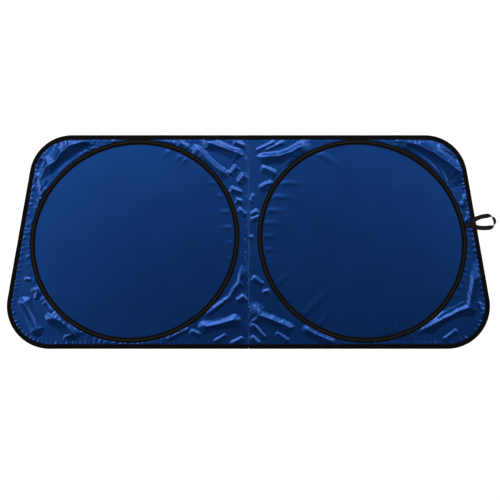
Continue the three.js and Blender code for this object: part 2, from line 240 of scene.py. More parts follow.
def beside_line(plan: np.ndarray, line: np.ndarray, towards: np.ndarray = LIT_SIDE) -> tuple[np.ndarray, ...]:
    """Where points lie beside a run of straight pieces on plan.

    Args:
        plan: The points.
        line: The run's corners.
        towards: The direction that picks the run's near side.

    Returns:
        Each point's distance, whether it is on the near side, and where its nearest place lies along the run,
        as a share of the run's length.
    """
    nearest = np.full(len(plan), np.inf)
    side = np.zeros(len(plan), bool)
    share = np.zeros(len(plan))
    lengths = np.linalg.norm(np.diff(line, axis=0), axis=1)
    done = 0.0
    for a, b, length in zip(line[:-1], line[1:], lengths):
        along = (b - a) / length
        at = np.clip((plan - a) @ along, 0, length)
        gap = plan - a - at[:, None] * along
        away = np.hypot(gap[:, 0], gap[:, 1])
        closer = away < nearest
        nearest[closer] = away[closer]
        side[closer] = (gap @ towards)[closer] > 0
        share[closer] = (done + at[closer]) / lengths.sum()
        done += length
    return nearest, side, share


def from_hoop(plan: np.ndarray, offset: float) -> np.ndarray:
    """How far points on plan lie from a line beside the hoop's, set off outwards from it."""
    return beside_line(plan, LAYOUT.hoop(np.linspace(0, TURN, HOOP_STEPS), offset)[0])[0]


def mesh_object(
    name: str, points: np.ndarray, faces: list | np.ndarray, uv: np.ndarray | None = None
) -> bpy.types.Object:
    """A smooth-shaded object at the origin.

    Args:
        name: The piece's name.
        points: Its corners.
        faces: Its faces, as corner numbers.
        uv: One pair for each corner of each face, in face order.

    Returns:
        The object, linked to the scene.
    """
    mesh = bpy.data.meshes.new(name)
    mesh.from_pydata(np.asarray(points).tolist(), [], list(map(tuple, faces)))
    mesh.update()
    mesh.shade_smooth()
    if uv is not None:
        layer = mesh.uv_layers.new(name="UVMap")
        layer.data.foreach_set("uv", np.asarray(uv, np.float32).ravel())
    thing = bpy.data.objects.new(name, mesh)
    bpy.context.scene.collection.objects.link(thing)
    return thing


def level_square(name: str, half: float, height: float) -> bpy.types.Object:
    """A level square round the origin, half as wide as it is given, at a height."""
    corners = [(-half, -half, height), (half, -half, height), (half, half, height), (-half, half, height)]
    return mesh_object(name, np.array(corners), [(0, 1, 2, 3)])


def dress(
    thing: bpy.types.Object, material: bpy.types.Material, stands_for: tuple[str, ...] = ()
) -> None:
    """Finishes a piece.

    Args:
        thing: The piece.
        material: Its material.
        stands_for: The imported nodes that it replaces.
    """
    thing.data.materials.clear()
    thing.data.materials.append(material)
    if stands_for:
        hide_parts(*stands_for)
    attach(thing, "root")
    LOG.info("%s: %d faces", thing.name, len(thing.data.polygons))


class Wiring:
    """A node tree, with short ways to add, set and join its nodes."""

    def __init__(self, tree: bpy.types.NodeTree) -> None:
        """Takes over an empty tree."""
        self.tree = tree

    def give(self, target: bpy.types.NodeSocket, value: object) -> None:
        """Gives an input a number, a colour or the output of another node.

        Args:
            target: The input.
            value: What it takes.
        """
        if isinstance(value, bpy.types.NodeSocket):
            self.tree.links.new(value, target)
        else:
            target.default_value = value

    def add(self, kind: str, inputs: dict[str, object] | None = None, **settings: object) -> bpy.types.Node:
        """Adds a node.

        Args:
            kind: The node's type.
            inputs: What its named inputs take.
            settings: Its own settings.

        Returns:
            The node.
        """
        node = self.tree.nodes.new(kind)
        for key, value in settings.items():
            setattr(node, key, value)
        for name, value in (inputs or {}).items():
            self.give(node.inputs[name], value)
        return node

    def math(self, operation: str, first: object, second: object = 0.0) -> bpy.types.NodeSocket:
        """Works out a sum.

        Args:
            operation: What is done to the two.
            first: A number or another node's output.
            second: The same.

        Returns:
            The output.
        """
        node = self.add("ShaderNodeMath", operation=operation)
        for socket, value in zip(node.inputs, (first, second)):
            self.give(socket, value)
        return node.outputs[0]

    def place(self) -> bpy.types.NodeSocket:
        """The place on the piece, in its own metres."""
        return self.add("ShaderNodeTexCoord").outputs["Object"]

    def noise(self, place: bpy.types.NodeSocket, scale: float, detail: float) -> bpy.types.NodeSocket:
        """A cloudy mask, with clouds 1 / scale metres wide."""
        inputs = {"Vector": place, "Scale": scale, "Detail": detail}
        return self.add("ShaderNodeTexNoise", inputs).outputs["Fac"]

    def blend(self, mask: bpy.types.NodeSocket, first: object, second: object) -> bpy.types.NodeSocket:
        """Blends one colour into another.

        Args:
            mask: Where the second shows.
            first: A colour or another node's output.
            second: The same.

        Returns:
            The blended colour.
        """
        inputs: dict[str, object] = {"Factor": mask}
        for name, value in (("A", first), ("B", second)):
            inputs[name] = value if isinstance(value, bpy.types.NodeSocket) else (*value, 1)
        return self.add("ShaderNodeMix", inputs, data_type="RGBA").outputs["Result"]

    def spread(self, mask: bpy.types.NodeSocket, low: float, high: float) -> bpy.types.NodeSocket:
        """Spreads a mask between two values."""
        inputs = {"Value": mask, "To Min": low, "To Max": high}
        return self.add("ShaderNodeMapRange", inputs).outputs["Result"]

    def weave(
        self, place: bpy.types.NodeSocket, pitch: float, slub: float, depth: float, strength: float
    ) -> bpy.types.NodeSocket:
        """Raises a plain weave on the surface.

        Args:
            place: Where on the cloth or tape.
            pitch: The spacing of its threads.
            slub: How uneven they are.
            depth: How high they stand.
            strength: How strongly they show.

        Returns:
            The woven surface's normal.
        """
        inputs = {"Vector": place, "Pitch": pitch, "Slub": slub}
        weave = self.add("ShaderNodeGroup", inputs, node_tree=weave_group())
        relief = {"Height": weave.outputs["Height"], "Distance": depth, "Strength": strength}
        return self.add("ShaderNodeBump", relief).outputs["Normal"]


def new_material(name: str) -> tuple[bpy.types.Material, Wiring, bpy.types.Node]:
    """A material with one Principled surface.

    Args:
        name: The material's name.

    Returns:
        The material, its wiring and its Principled node.
    """
    material = bpy.data.materials.new(name)
    material.use_nodes = True
    material.node_tree.nodes.clear()
    wiring = Wiring(material.node_tree)
    principled = wiring.add("ShaderNodeBsdfPrincipled")
    wiring.add("ShaderNodeOutputMaterial", {"Surface": principled.outputs["BSDF"]})
    return material, wiring, principled


def weave_group() -> bpy.types.NodeTree:
    """A plain weave, its threads over and under each other.

    Returns:
        The node group, with Vector, Pitch and Slub inputs and a Height output.
    """
    found = bpy.data.node_groups.get("plain weave")
    if found:
        return found
    tree = bpy.data.node_groups.new("plain weave", "ShaderNodeTree")
    for name, kind in (("Vector", "Vector"), ("Pitch", "Float"), ("Slub", "Float")):
        tree.interface.new_socket(name, in_out="INPUT", socket_type=f"NodeSocket{kind}")
    tree.interface.new_socket("Height", in_out="OUTPUT", socket_type="NodeSocketFloat")
    wiring = Wiring(tree)
    given = wiring.add("NodeGroupInput").outputs
    split = wiring.add("ShaderNodeSeparateXYZ", {"Vector": given["Vector"]})
    sines = []
    for axis in ("X", "Y"):
        turns = wiring.math("DIVIDE", split.outputs[axis], given["Pitch"])
        sines.append(wiring.math("SINE", wiring.math("MULTIPLY", turns, math.pi)))
    over = wiring.math("MULTIPLY", *sines)
    slub = wiring.math("MULTIPLY", wiring.noise(given["Vector"], 220, 2), given["Slub"])
    wiring.add("NodeGroupOutput", {"Height": wiring.math("ADD", over, slub)})
    return tree


@dataclass(frozen=True)
class CoatedCloth:
    """Shiny coated polyester: a satin blue with a tight plain weave under the coat."""

    colour: tuple[float, float, float] = (0.009, 0.100, 0.465)
    worn_colour: tuple[float, float, float] = (0.012, 0.112, 0.500)
    coat: float = 0.65
    coat_roughness: float = 0.2
    metallic: float = 0.92
    roughness: tuple[float, float] = (0.34, 0.41)
    cloud_scale: float = 9
    thread_pitch: float = 0.45 * MM
    weave_depth: float = 0.02 * MM
    weave_strength: float = 0.035
    slub: float = 0.6

    def material(self, name: str) -> bpy.types.Material:
        """Builds the cloth's material.

        Args:
            name: The material's name.

        Returns:
            The material.
        """
        material, wiring, principled = new_material(name)
        place = wiring.place()
        cloud = wiring.noise(place, self.cloud_scale, 4)
        woven = wiring.weave(place, self.thread_pitch, self.slub, self.weave_depth, self.weave_strength)
        wiring.give(principled.inputs["Base Color"], wiring.blend(cloud, self.colour, self.worn_colour))
        wiring.give(principled.inputs["Roughness"], wiring.spread(cloud, *self.roughness))
        wiring.give(principled.inputs["Normal"], woven)
        wiring.give(principled.inputs["Coat Normal"], woven)
        principled.inputs["Metallic"].default_value = self.metallic
        principled.inputs["Coat Weight"].default_value = self.coat
        principled.inputs["Coat Roughness"].default_value = self.coat_roughness
        return material


@dataclass(frozen=True)
class WovenTape:
    """Black woven tape: cross ribs, a slightly worn, greyer nap and a painted highlight, a lighter colour
    over the arch's crest.
    """

    colour: tuple[float, float, float] = (0.0025, 0.0025, 0.0028)
    nap_colour: tuple[float, float, float] = (0.009, 0.0085, 0.008)
    roughness: float = 0.75
    sheen: float = 0.12
    # Painted highlight: the tape takes this colour above the lower of the crest heights, in full above the
    # higher.
    crest_colour: tuple[float, float, float] = (0.036, 0.031, 0.026)
    crest: tuple[float, float] = (3 * MM, 5 * MM)
    fibre_scale: float = 420
    rib_pitch: float = 1.1 * MM
    rib_depth: float = 0.09 * MM
    rib_strength: float = 0.6
    slub: float = 0.9

    def material(self, name: str) -> bpy.types.Material:
        """Builds the tape's material, for a UV in metres along (U) and across (V) the tape.

        Args:
            name: The material's name.

        Returns:
            The material.
        """
        material, wiring, principled = new_material(name)
        uv = wiring.add("ShaderNodeUVMap", uv_map="UVMap").outputs["UV"]
        nap = wiring.blend(wiring.noise(uv, self.fibre_scale, 5), self.colour, self.nap_colour)
        # Painted light: the colour turns to the painted crest colour with height. On the tape it is a
        # highlight; on the elastic it darkens the top.
        height = wiring.add("ShaderNodeSeparateXYZ", {"Vector": wiring.place()}).outputs["Z"]
        crest = {"Value": height, "From Min": self.crest[0], "From Max": self.crest[1]}
        painted_crest = wiring.add("ShaderNodeMapRange", crest, interpolation_type="SMOOTHSTEP").outputs["Result"]
        woven = wiring.weave(uv, self.rib_pitch, self.slub, self.rib_depth, self.rib_strength)
        wiring.give(principled.inputs["Base Color"], wiring.blend(painted_crest, nap, self.crest_colour))
        wiring.give(principled.inputs["Normal"], woven)
        principled.inputs["Roughness"].default_value = self.roughness
        principled.inputs["Specular IOR Level"].default_value = self.sheen
        return material


@dataclass(frozen=True)
class Elastic(WovenTape):
    """Black ribbed elastic, closer woven than the tape and a little shinier."""

    colour: tuple[float, float, float] = (0.009, 0.009, 0.009)
    nap_colour: tuple[float, float, float] = (0.034, 0.033, 0.032)
    # The elastic's top, above 6 mm, is painted darker than the rest.
    crest_colour: tuple[float, float, float] = (0.006, 0.006, 0.006)
    crest: tuple[float, float] = (6 * MM, 11 * MM)
    rib_pitch: float = 0.8 * MM
    rib_depth: float = 0.06 * MM
    roughness: float = 0.6


@dataclass(frozen=True)
class Thread:
    """Black polyester thread, with a twist and a slight sheen."""

    colour: tuple[float, float, float] = (0.006, 0.006, 0.007)
    fibre_colour: tuple[float, float, float] = (0.02, 0.02, 0.021)
    roughness: float = 0.5
    twist_scale: float = 900
    twist_waver: float = 2

    def material(self, name: str) -> bpy.types.Material:
        """Builds the thread's material.

        Args:
            name: The material's name.

        Returns:
            The material.
        """
        material, wiring, principled = new_material(name)
        twist = {"Vector": wiring.place(), "Scale": self.twist_scale, "Distortion": self.twist_waver}
        mask = wiring.add("ShaderNodeTexWave", twist, bands_direction="DIAGONAL").outputs["Fac"]
        wiring.give(principled.inputs["Base Color"], wiring.blend(mask, self.colour, self.fibre_colour))
        principled.inputs["Roughness"].default_value = self.roughness
        return material


@dataclass(frozen=True)
class SpringSteel:
    """Bright drawn spring wire, with fine scuffs."""

    colour: tuple[float, float, float] = (0.50, 0.51, 0.53)
    roughness: tuple[float, float] = (0.18, 0.43)
    scuff_scale: float = 300

    def material(self, name: str) -> bpy.types.Material:
        """Builds the steel's material.

        Args:
            name: The material's name.

        Returns:
            The material.
        """
        material, wiring, principled = new_material(name)
        scuffs = wiring.noise(wiring.place(), self.scuff_scale, 6)
        wiring.give(principled.inputs["Roughness"], wiring.spread(scuffs, *self.roughness))
        principled.inputs["Base Color"].default_value = (*self.colour, 1)
        principled.inputs["Metallic"].default_value = 1.0
        return material


@dataclass(frozen=True)
class Fold:
    """A loose fold in the cloth.

    Its line runs along the crest, in millimetres from the seam's middle. Its height, its half width on the
    side that the lamp lights and its half width on the lee side are in millimetres too. Without a lee width
    both sides are alike.
    """

    line: tuple[tuple[float, float], ...]
    height: float
    width: float
    lee: float = 0.0

    def left(self, share: np.ndarray) -> np.ndarray:
        """How much of the fold is left at each share of its length: none at its two ends."""
        return smooth(share, 0, END_FADE) * (1 - smooth(share, 1 - END_FADE, 1))

    def heights(self, plan: np.ndarray, web: np.ndarray) -> np.ndarray:
        """How high the fold lifts points. Its lee side comes down to the hoop at the furthest.

        Args:
            plan: The points on plan.
            web: How far each of them lies from the hoop tape.

        Returns:
            Each point's lift, in metres.
        """
        away, lit, share = beside_line(plan, np.array(self.line) * MM)
        lee = np.minimum(self.lee * MM, away + web + CREST_ROUND) if self.lee else self.width * MM
        half = np.where(lit, self.width * MM, lee)
        from_crest = np.hypot(away, CREST_ROUND) - CREST_ROUND
        return self.height * MM * np.clip(1 - from_crest / half, 0, 1) * self.left(share)


@dataclass(frozen=True)
class Pucker(Fold):
    """A shallow wrinkle in the taut disc, which dies away from the hoop."""

    def left(self, share: np.ndarray) -> np.ndarray:
        """How much of the pucker is left at each share of its length: all at the hoop, none at its end."""
        return 1 - smooth(share, PUCKER_HOLDS, 1)


# The loose folds of the web, placed where the photograph shows them.
LEFT_FOLDS = (
    Fold(((-178, 311), (-153, 286), (-124, 254), (-98, 230), (-73, 214), (-58, 194)), 4.9, 14, 24),
    Fold(((-150, 314), (-112, 305), (-68, 289), (-30, 275), (-8, 260)), 6.4, 16, 38),
    Fold(((-50, 314), (-7, 296)), 2.9, 8, 13),
    Fold(((-34, 240), (-61, 207)), 4.3, 12, 22),
    Fold(((-10, 214), (-35, 180)), 4.3, 12, 19),
    Fold(((-60, 169), (-15, 152)), 3.6, 10, 16),
    Fold(((-42, 132), (-15, 126)), 2.9, 8, 13),
    Fold(((-32, 106), (-6, 82)), 2.5, 7, 11),
    Fold(((-220, 314), (-183, 291)), 2.9, 8, 13),
    Fold(((-246, 318), (-224, 300)), 2.5, 7, 11),
    Fold(
        ((-470, 318), (-516, 310), (-552, 300), (-578, 280), (-600, 250), (-630, 233), (-656, 243)),
        9.5, 29, 90,
    ),
    Fold(((-591, 306), (-572, 292)), 3.6, 10, 16),
    Fold(((-641, 269), (-663, 239)), 3.2, 9, 14),
    Fold(((-674, 188), (-653, 206), (-645, 178), (-642, 150)), 3.2, 9, 14),
    Fold(((-646, 152), (-625, 165)), 2.5, 7, 11),
    Fold(((-654, 97), (-644, 140)), 2.9, 8, 13),
    Fold(((-706, -158), (-690, -200), (-672, -240), (-650, -304)), 7, 21, 32),
    Fold(((-640, -240), (-609, -236), (-585, -246), (-560, -268), (-530, -308)), 6.4, 21, 36),
    Fold(((-680, -152), (-658, -150), (-662, -186)), 3.2, 9, 14),
    Fold(((-697, -112), (-672, -118)), 2.9, 8, 13),
    Fold(((-636, -176), (-608, -227)), 3.2, 9, 14),
    Fold(((-15, -51), (-20, -89), (-30, -128), (-60, -172), (-100, -204), (-148, -236)), 3.9, 11, 21),
    Fold(((-62, -117), (-90, -160)), 2.5, 7, 11),
    Fold(((-166, -251), (-130, -262), (-88, -254), (-48, -243), (-9, -239)), 6.4, 21, 32),
    Fold(((-262, -307), (-223, -284), (-176, -265)), 2.9, 8, 13),
    Fold(((-185, -274), (-157, -284), (-143, -293)), 3.6, 10, 16),
    Fold(((-40, -184), (-8, -165)), 3.6, 10, 16),
    Fold(((-112, -312), (-63, -283)), 2.9, 8, 13),
    Fold(((-59, -317), (-12, -294)), 2.9, 8, 13),
)
RIGHT_FOLDS = (
    Fold(((14, 264), (46, 264), (95, 267), (135, 281), (165, 299), (191, 317)), 6.4, 16, 36),
    Fold(((14, 281), (50, 296), (92, 314)), 2.9, 8, 13),
    Fold(((43, 280), (117, 314)), 2.9, 8, 13),
    Fold(((34, 236), (64, 224), (92, 211)), 4.3, 12, 24),
    Fold(((28, 166), (52, 178), (79, 186)), 3.6, 10, 22),
    Fold(((5, 118), (18, 152)), 2.5, 7, 11),
    Fold(((5, 85), (32, 99)), 2.5, 7, 11),
    Fold(((5, 68), (39, 82)), 2.5, 7, 11),
    Fold(((2, 16), (15, 16)), 2.2, 6, 10),
    Fold(((450, 320), (489, 312), (534, 299), (575, 278), (615, 251), (651, 223), (682, 188)), 9, 28, 90),
    Fold(((575, 300), (600, 292), (629, 277), (657, 256)), 3.6, 10, 19),
    Fold(((658, 106), (669, 124), (672, 140), (682, 141)), 2.9, 8, 13),
    Fold(((675, 60), (682, 76), (688, 94)), 2.5, 7, 11),
    Fold(
        ((707, -40), (705, -90), (701, -124), (693, -166), (686, -203),
         (649, -217), (586, -250), (544, -275), (515, -300)),
        6.9, 16, 34,
    ),
    Fold(((686, -178), (645, -203), (594, -229), (578, -248)), 3.2, 9, 14),
    Fold(((653, -268), (599, -308)), 3.2, 9, 19),
    Fold(((713, -180), (732, -236)), 2.9, 8, 13),
    Fold(((5, -183), (17, -203), (33, -227), (73, -243), (128, -266), (160, -266)), 6.2, 20, 32),
    Fold(((162, -261), (207, -286), (272, -314)), 4.3, 12, 19),
    Fold(((10, -105), (50, -135)), 3.6, 10, 16),
    Fold(((40, -157), (68, -150)), 3.2, 9, 14),
    Fold(((7, -290), (36, -318)), 2.9, 8, 13),
    Fold(((5, -248), (61, -304)), 2.9, 8, 13),
    Fold(((80, -276), (130, -311)), 3.6, 10, 16),
)

# The shallow wrinkles that run from each hoop into its disc.
LEFT_PUCKERS = (
    Pucker(((-240, 296), (-268, 256)), 0.8, 9),
    Pucker(((-196, 283), (-234, 240)), 0.9, 9),
    Pucker(((-184, 270), (-216, 232)), 0.8, 7.9),
    Pucker(((-88, 186), (-134, 183)), 0.8, 7.9),
    Pucker(((-67, 143), (-109, 142)), 0.8, 7.9),
    Pucker(((-54, 94), (-100, 93)), 0.8, 7.9),
    Pucker(((-48, 45), (-96, 44)), 0.8, 7.9),
    Pucker(((-46, -3), (-78, -2)), 0.7, 7.9),
    Pucker(((-48, -52), (-74, -50)), 0.7, 6.8),
    Pucker(((-56, -98), (-84, -90)), 0.7, 6.8),
    Pucker(((-70, -142), (-100, -128)), 0.6, 6.8),
    Pucker(((-92, -190), (-122, -166)), 0.6, 6.8),
)
RIGHT_PUCKERS = (
    Pucker(((78, 184), (186, 181)), 0.9, 9),
    Pucker(((60, 142), (156, 137)), 1, 9),
    Pucker(((47, 99), (126, 95)), 0.9, 9),
    Pucker(((40, 60), (106, 58)), 0.8, 7.9),
    Pucker(((38, 18), (96, 19)), 0.8, 7.9),
    Pucker(((40, -22), (94, -26)), 0.8, 7.9),
    Pucker(((48, -66), (86, -66)), 0.6, 6.8),
    Pucker(((58, -112), (96, -106)), 0.6, 6.8),
    Pucker(((91, -130), (146, -80)), 0.6, 11.2),
    Pucker(((158, -240), (286, -110)), 1.1, 13.5),
    Pucker(((211, -268), (271, -196)), 0.8, 11.2),
    Pucker(((210, 284), (306, 220)), 0.8, 13.5),
    Pucker(((434, -292), (434, -240)), 0.6, 9),
    Pucker(((454, -287), (454, -236)), 0.6, 9),
    Pucker(((403, -298), (403, -250)), 0.6, 9),
)


@dataclass(frozen=True)
class Gathers:
    """Uneven gathers along a sewn line: their mean spacing, their height and their reach into the cloth."""

    pitch: float
    height: float
    reach: float
    spacing: tuple[float, float] = (0.55, 1.45)
    sizes: tuple[float, float] = (0.1, 1.0)

    def heights(self, away: np.ndarray, along: np.ndarray, rng: np.random.Generator) -> np.ndarray:
        """How high the gathers lift points of the cloth.

        Args:
            away: How far each point lies from the sewn line.
            along: How far along the line it lies.
            rng: What makes the gathers uneven.

        Returns:
            Each point's lift.
        """
        count = int(along.max() / self.pitch * 2) + 4
        crests = np.cumsum(rng.uniform(*self.spacing, count)) * self.pitch
        sizes = rng.uniform(*self.sizes, count)
        number = np.interp(along, crests, np.arange(count))
        wave = np.interp(along, crests, sizes) * (0.5 + 0.5 * np.cos(TURN * number))
        return self.height * wave * np.exp(-((away / self.reach) ** 2))


@dataclass
class ClothPanel:
    """One half of the cloth: taut in the hoop, slack and puckered outside it.

    The half's plan is made on the +X side, and the left one is mirrored before its folds are laid. Once it is
    built, sewn holds the places of the seam's stitches on it.
    """

    side: Side
    folds: tuple[Fold, ...]
    puckers: tuple[Fold, ...]
    thickness: float = 0.45 * MM
    seed: int = 5
    sewn: np.ndarray = field(init=False, repr=False)

    # The mesh: the spacing of its points, shares of it, and how the disc's rings grow apart.
    web_pitch: float = 3.85 * MM
    scatter: float = 0.18
    clearance: float = 0.62
    batch: int = 2000
    fine_depth: float = 30 * MM
    disc_growth: float = 1.05
    disc_pitch: float = 12 * MM
    disc_core: float = 10 * MM

    # The seam: the right half's turned hem over a tongue of the left half.
    rim_inset: float = 3 * MM
    hem_gap: float = 0.3 * MM
    tongue: float = 10 * MM
    stitch_row: float = 4.5 * MM
    hem_height: float = 1.8 * MM
    stitch_height: float = 1.3 * MM
    tongue_height: float = 0.7 * MM
    stitch_step: int = 3
    thread_lift: float = 0.1 * MM

    # The gathers, where they are strong, and what the hoop tape pulls down beside it.
    edge_gathers: Gathers = Gathers(15 * MM, 1.9 * MM, 10 * MM)
    seam_gathers: Gathers = Gathers(10 * MM, 1.1 * MM, 7 * MM)
    hoop_gathers: Gathers = Gathers(22 * MM, 2 * MM, 12 * MM)
    scallops: float = 1.0
    calm: float = 0.45
    outer_part: tuple[float, float] = (440 * MM, 580 * MM)
    narrow_web: tuple[float, float] = (40 * MM, 80 * MM)
    low_part: tuple[float, float] = (0, 160 * MM)
    pucker_start: tuple[float, float] = (2 * MM, 9 * MM)
    groove: float = 0.25 * MM
    groove_reach: float = 3 * MM
    tuck: float = 4 * MM

    # The settling of the slack cloth.
    slack: float = 0.001
    gather: float = 0.06
    gather_width: float = 18 * MM
    least_gather: float = 0.01
    ground: float = -1.5 * MM
    contact: float = 0.5 * MM
    bending: float = 2.0
    weight: float = 0.03
    frames: int = 30

    @property
    def inner(self) -> float:
        """Where the half's inner edge runs: the turned hem on the right, the tongue under it on the left."""
        return self.hem_gap if self.side is Side.RIGHT else -self.tongue

    @property
    def held_row(self) -> float:
        """Where the half is held along the seam: at its stitches on the right, at the middle on the left."""
        return self.stitch_row if self.side is Side.RIGHT else 0.0

    def _loops(self) -> dict[str, np.ndarray]:
        """Draws the sewn lines on plan.

        Returns:
            The rim, the binding's inner edge, both edges of the hoop tape, the seam and the row that is held.
        """
        pitch = self.web_pitch
        rim = LAYOUT.edge(self.rim_inset, pitch)[0]
        bound = LAYOUT.edge(LAYOUT.binding_width, pitch)[0]
        for loop in (rim, bound):
            loop[0, 0] = loop[-1, 0] = self.inner
        steps = round(math.pi * float(LAYOUT.hoop_radii.sum()) / pitch)
        turn = np.arange(steps) * TURN / steps
        outer = LAYOUT.hoop(turn, LAYOUT.tape_width / 2)[0]
        inner = LAYOUT.hoop(turn, -LAYOUT.tape_width / 2)[0]
        heights = np.arange(1, round((bound[0, 1] - bound[-1, 1]) / pitch)) * pitch + bound[-1, 1]
        columns = (np.full(len(heights), x) for x in (self.inner, self.held_row))
        seam, held = (np.stack([column, heights], axis=1) for column in columns)
        return {"rim": rim, "bound": bound, "outer": outer, "inner": inner, "seam": seam, "held": held}

    def _web_points(self, loops: dict[str, np.ndarray], rng: np.random.Generator) -> np.ndarray:
        """Scatters points evenly in the slack cloth, clear of the sewn lines.

        Args:
            loops: The sewn lines.
            rng: What scatters them.

        Returns:
            The points on plan.
        """
        pitch = self.web_pitch
        low, high = loops["bound"].min(axis=0), loops["bound"].max(axis=0)
        rows = np.arange(low[1], high[1], pitch * math.sqrt(3) / 2)
        across = np.arange(max(low[0], 0.0), high[0], pitch)
        grid = np.array([(x + (j % 2) * pitch / 2, y) for j, y in enumerate(rows) for x in across])
        grid += rng.uniform(-self.scatter, self.scatter, grid.shape) * pitch
        keep = inside(grid, np.vstack([loops["bound"], loops["seam"]])) & ~inside(grid, loops["outer"])
        grid = grid[keep]
        border = np.vstack([loops[name] for name in ("bound", "outer", "seam", "held")])
        clear = np.ones(len(grid), bool)
        for start in range(0, len(grid), self.batch):
            part = grid[start : start + self.batch]
            gap = np.hypot(part[:, None, 0] - border[None, :, 0], part[:, None, 1] - border[None, :, 1])
            clear[start : start + self.batch] = gap.min(axis=1) > pitch * self.clearance
        return grid[clear]

    def _disc_points(self) -> np.ndarray:
        """Sets rings of points inside the hoop, further apart towards the middle.

        Returns:
            The points on plan.
        """
        centre = LAYOUT.hoop_centre
        radii = LAYOUT.hoop_radii - LAYOUT.tape_width / 2
        points = [centre]
        depth = 0.0
        step = self.web_pitch
        ring = 0
        while depth + step < radii.min() - self.disc_core:
            depth += step
            size = radii - depth
            count = max(6, round(math.pi * float(size.sum()) / step))
            turn = (np.arange(count) + (ring % 2) / 2) * TURN / count
            points.extend(centre + LAYOUT.tilted(size * np.stack([np.cos(turn), np.sin(turn)], axis=1)))
            ring += 1
            if depth > self.fine_depth:
                step = min(step * self.disc_growth, self.disc_pitch)
        return np.array(points)

    def _plan(self) -> tuple[np.ndarray, np.ndarray, np.ndarray]:
        """Triangulates the half.

        Returns:
            The points on plan, the triangles, and which points are free to move as slack cloth.
        """
        rng = np.random.default_rng(self.seed)
        loops = self._loops()
        outline = np.vstack([loops["rim"], loops["seam"]])
        sewn = [loops[name] for name in ("bound", "outer", "inner", "held")]
        parts = [outline, *sewn, self._disc_points()]
        starts = np.cumsum([0] + [len(part) for part in parts])
        edges: list[tuple[int, int]] = []
        for number, closes in enumerate((True, False, True, True, False)):
            start, count = starts[number], len(parts[number])
            edges += [(start + i, start + i + 1) for i in range(count - 1)]
            if closes:
                edges.append((start + count - 1, start))
        points = np.vstack(parts + [self._web_points(loops, rng)])
        made = delaunay_2d_cdt([Vector(p) for p in points], edges, [], KEEP_INSIDE, SNAP)
        plan = np.array([tuple(p) for p in made[0]])
        free = np.array([any(s >= starts[-1] for s in sources) for sources in made[3]])
        x, y = plan.T
        ends = loops["bound"][0, 1] - self.web_pitch / 2
        seam = (x < self.held_row + self.hem_gap) & (np.abs(y) < ends) & (x > -self.hem_gap)
        held = seam & (np.abs(x - self.held_row) < self.hem_gap / 2)
        held &= np.round((y - loops["seam"][0, 1]) / self.web_pitch) % self.stitch_step == 0
        free |= seam & ~held
        return plan, np.array(made[2]), free

    def _seam_height(self, plan: np.ndarray) -> np.ndarray:
        """The height of the sewn cloth: level, but for the seam's hem and the tongue under it.

        Args:
            plan: Points on plan.

        Returns:
            Each point's height.
        """
        height = np.full(len(plan), LAYOUT.cloth_top)
        x = plan[:, 0]
        if self.side is Side.RIGHT:
            height[x < self.stitch_row + self.hem_gap / 2] = self.stitch_height
            height[x < self.hem_gap + self.hem_gap / 2] = self.hem_height
        else:
            height[x < self.hem_gap] = self.tongue_height
        return height

    def _from_tape(self, plan: np.ndarray) -> np.ndarray:
        """How far each point of the web lies outside the hoop tape's outer seam."""
        return from_hoop(plan, LAYOUT.tape_width / 2)

    def _laid(self, plan: np.ndarray, folds: tuple[Fold, ...], sharpness: float = 3) -> np.ndarray:
        """How high a set of folds lifts each point of the half, running into each other softly.

        Args:
            plan: Points on plan, on the +X side.
            folds: The folds, on their own side.
            sharpness: How plainly the higher of two folds wins.

        Returns:
            Each point's lift.
        """
        true_plan = plan * (self.side.value, 1)
        web = self._from_tape(plan)
        total = sum(fold.heights(true_plan, web) ** sharpness for fold in folds)
        return total ** (1 / sharpness)

    def _gather_heights(self, plan: np.ndarray) -> np.ndarray:
        """How high the gathers beside the binding, the seam and the hoop tape lift points.

        Args:
            plan: Points on plan.

        Returns:
            Each point's lift.
        """
        rng = np.random.default_rng(self.seed + self.side.value)
        lines = (
            LAYOUT.edge(LAYOUT.binding_width, self.web_pitch * 2)[0],
            np.array([(0.0, -LAYOUT.half_height), (0.0, LAYOUT.half_height)]),
            LAYOUT.hoop(np.linspace(0, TURN, HOOP_STEPS), LAYOUT.tape_width / 2)[0],
        )
        beside = [beside_line(plan, line) for line in lines]
        outer = smooth(plan[:, 0], *self.outer_part)
        narrow = 1 - smooth(beside[0][0], *self.narrow_web)
        low = smooth(-plan[:, 1], *self.low_part)
        scalloped = np.maximum(narrow, low * outer) * self.scallops
        strengths = (self.calm + (1 - self.calm) * outer, 1.0, scalloped)
        kinds = (self.edge_gathers, self.seam_gathers, self.hoop_gathers)
        total = np.zeros(len(plan))
        for line, (away, _, share), gathers, strength in zip(lines, beside, kinds, strengths):
            length = float(np.linalg.norm(np.diff(line, axis=0), axis=1).sum())
            total += strength * gathers.heights(away, share * length, rng)
        return total

    def _gathered(self, plan: np.ndarray, height: np.ndarray) -> np.ndarray:
        """Adds the gathers, and a shallow groove beside the hoop tape, to the settled web.

        Args:
            plan: Points on plan.
            height: Their settled heights.

        Returns:
            Their heights.
        """
        near = self._from_tape(plan) / self.groove_reach
        groove = self.groove * near * np.exp(1 - near)
        return np.maximum(height, LAYOUT.cloth_top) + self._gather_heights(plan) - groove

    def _mark(self, cloth: bpy.types.Object, plan: np.ndarray, held: list[int]) -> None:
        """Marks where the slack cloth is held and where it is gathered.

        Args:
            cloth: The slack cloth.
            plan: Its points on plan.
            held: The numbers of its points that stay.
        """
        cloth.vertex_groups.new(name="held").add(held, 1.0, "REPLACE")
        bound = LAYOUT.edge(LAYOUT.binding_width, self.web_pitch * 4)[0]
        depth = np.minimum(beside_line(plan, bound)[0], plan[:, 0])
        group = cloth.vertex_groups.new(name="gathered")
        for i, weight in enumerate((1 - smooth(depth, 0, self.gather_width)).tolist()):
            if weight > self.least_gather:
                group.add([i], weight, "REPLACE")

